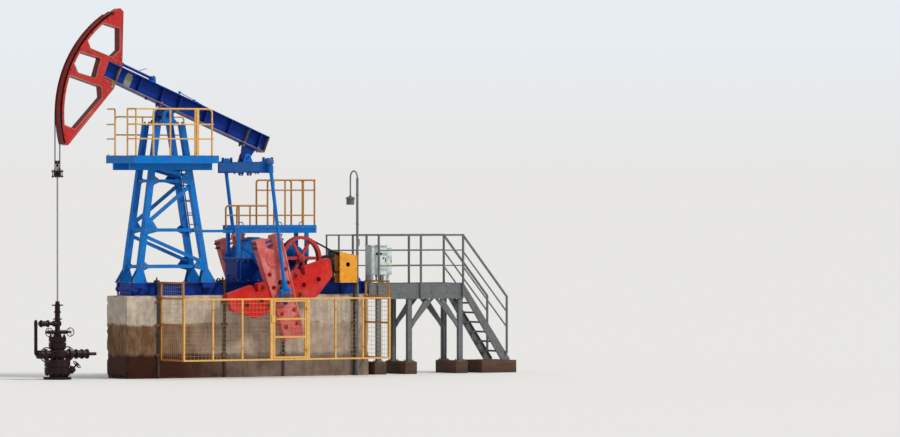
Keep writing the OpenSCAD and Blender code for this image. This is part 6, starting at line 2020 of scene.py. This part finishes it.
class PUMPJACK_OT_linkage_details(bpy.types.Operator):
    """Clamp blocks of the pitmans, and brackets and edges of the equalizer"""

    bl_idname = "pumpjack.linkage_details"
    bl_label = "Equalizer and pitman details"

    def execute(self, context):
        fit_linkage()
        return {"FINISHED"}


class PUMPJACK_OT_crank_details(bpy.types.Operator):
    """Cranks with their hole rings and hub caps, and the rims and bolts of the weights"""

    bl_idname = "pumpjack.crank_details"
    bl_label = "Crank details"

    def execute(self, context):
        build_cranks()
        return {"FINISHED"}


class PUMPJACK_OT_drive_details(bpy.types.Operator):
    """Motor with its fins, belt guard's folds, pulley's cap, gearbox fittings and deck"""

    bl_idname = "pumpjack.drive_details"
    bl_label = "Gearbox, motor and belt details"

    def execute(self, context):
        fit_drive(context)
        return {"FINISHED"}


class PUMPJACK_OT_side_details(bpy.types.Operator):
    """Doors and knobs of the cabinets, the lamp's head, hinges, latch and clamps of the fences"""

    bl_idname = "pumpjack.side_details"
    bl_label = "Cabinet, lamp and fence details"

    def execute(self, context):
        fit_sides()
        return {"FINISHED"}


class PUMPJACK_OT_walkway_details(bpy.types.Operator):
    """Railing, grating, ribs and legs of the walkway, and the stair"""

    bl_idname = "pumpjack.walkway_details"
    bl_label = "Walkway and stair details"

    def execute(self, context):
        build_walkway(context)
        return {"FINISHED"}


class PUMPJACK_OT_well_details(bpy.types.Operator):
    """Wellhead with its outlets and stuffing box, the ropes and the carrier"""

    bl_idname = "pumpjack.well_details"
    bl_label = "Wellhead and carrier details"

    def execute(self, context):
        build_well()
        return {"FINISHED"}


OPERATORS = (
    PUMPJACK_OT_stage, PUMPJACK_OT_paint, PUMPJACK_OT_fence_mesh, PUMPJACK_OT_foundation,
    PUMPJACK_OT_frame_bolts, PUMPJACK_OT_skid_details, PUMPJACK_OT_tower_details,
    PUMPJACK_OT_railings, PUMPJACK_OT_head_details, PUMPJACK_OT_beam_details,
    PUMPJACK_OT_linkage_details, PUMPJACK_OT_crank_details, PUMPJACK_OT_drive_details,
    PUMPJACK_OT_side_details, PUMPJACK_OT_walkway_details, PUMPJACK_OT_well_details)


class PUMPJACK_PT_panel(bpy.types.Panel):
    """Lists the operators of the pumpjack."""

    bl_idname = "PUMPJACK_PT_panel"
    bl_label = "Pumpjack"
    bl_space_type = "VIEW_3D"
    bl_region_type = "UI"
    bl_category = "Pumpjack"

    def draw(self, context):
        for operator in OPERATORS:
            self.layout.operator(operator.bl_idname)
        for group in (context.scene.pumpjack_paint, context.scene.pumpjack_sizes,
                      context.scene.pumpjack_stage):
            box = self.layout.box()
            for key in group.__annotations__:
                box.prop(group, key)


GROUP_CLASSES = (PUMPJACK_PG_paint, PUMPJACK_PG_sizes, PUMPJACK_PG_stage)


def register():
    for kind in (*GROUP_CLASSES, *OPERATORS, PUMPJACK_PT_panel):
        bpy.utils.register_class(kind)
    bpy.types.Scene.pumpjack_paint = PointerProperty(type=PUMPJACK_PG_paint)
    bpy.types.Scene.pumpjack_sizes = PointerProperty(type=PUMPJACK_PG_sizes)
    bpy.types.Scene.pumpjack_stage = PointerProperty(type=PUMPJACK_PG_stage)


def unregister():
    del bpy.types.Scene.pumpjack_stage
    del bpy.types.Scene.pumpjack_sizes
    del bpy.types.Scene.pumpjack_paint
    for kind in reversed((*GROUP_CLASSES, *OPERATORS, PUMPJACK_PT_panel)):
        bpy.utils.unregister_class(kind)


def main():
    register()
    for operator in OPERATORS:
        group, name = operator.bl_idname.split(".")
        getattr(getattr(bpy.ops, group), name)()


if __name__ == "__main__":
    main()
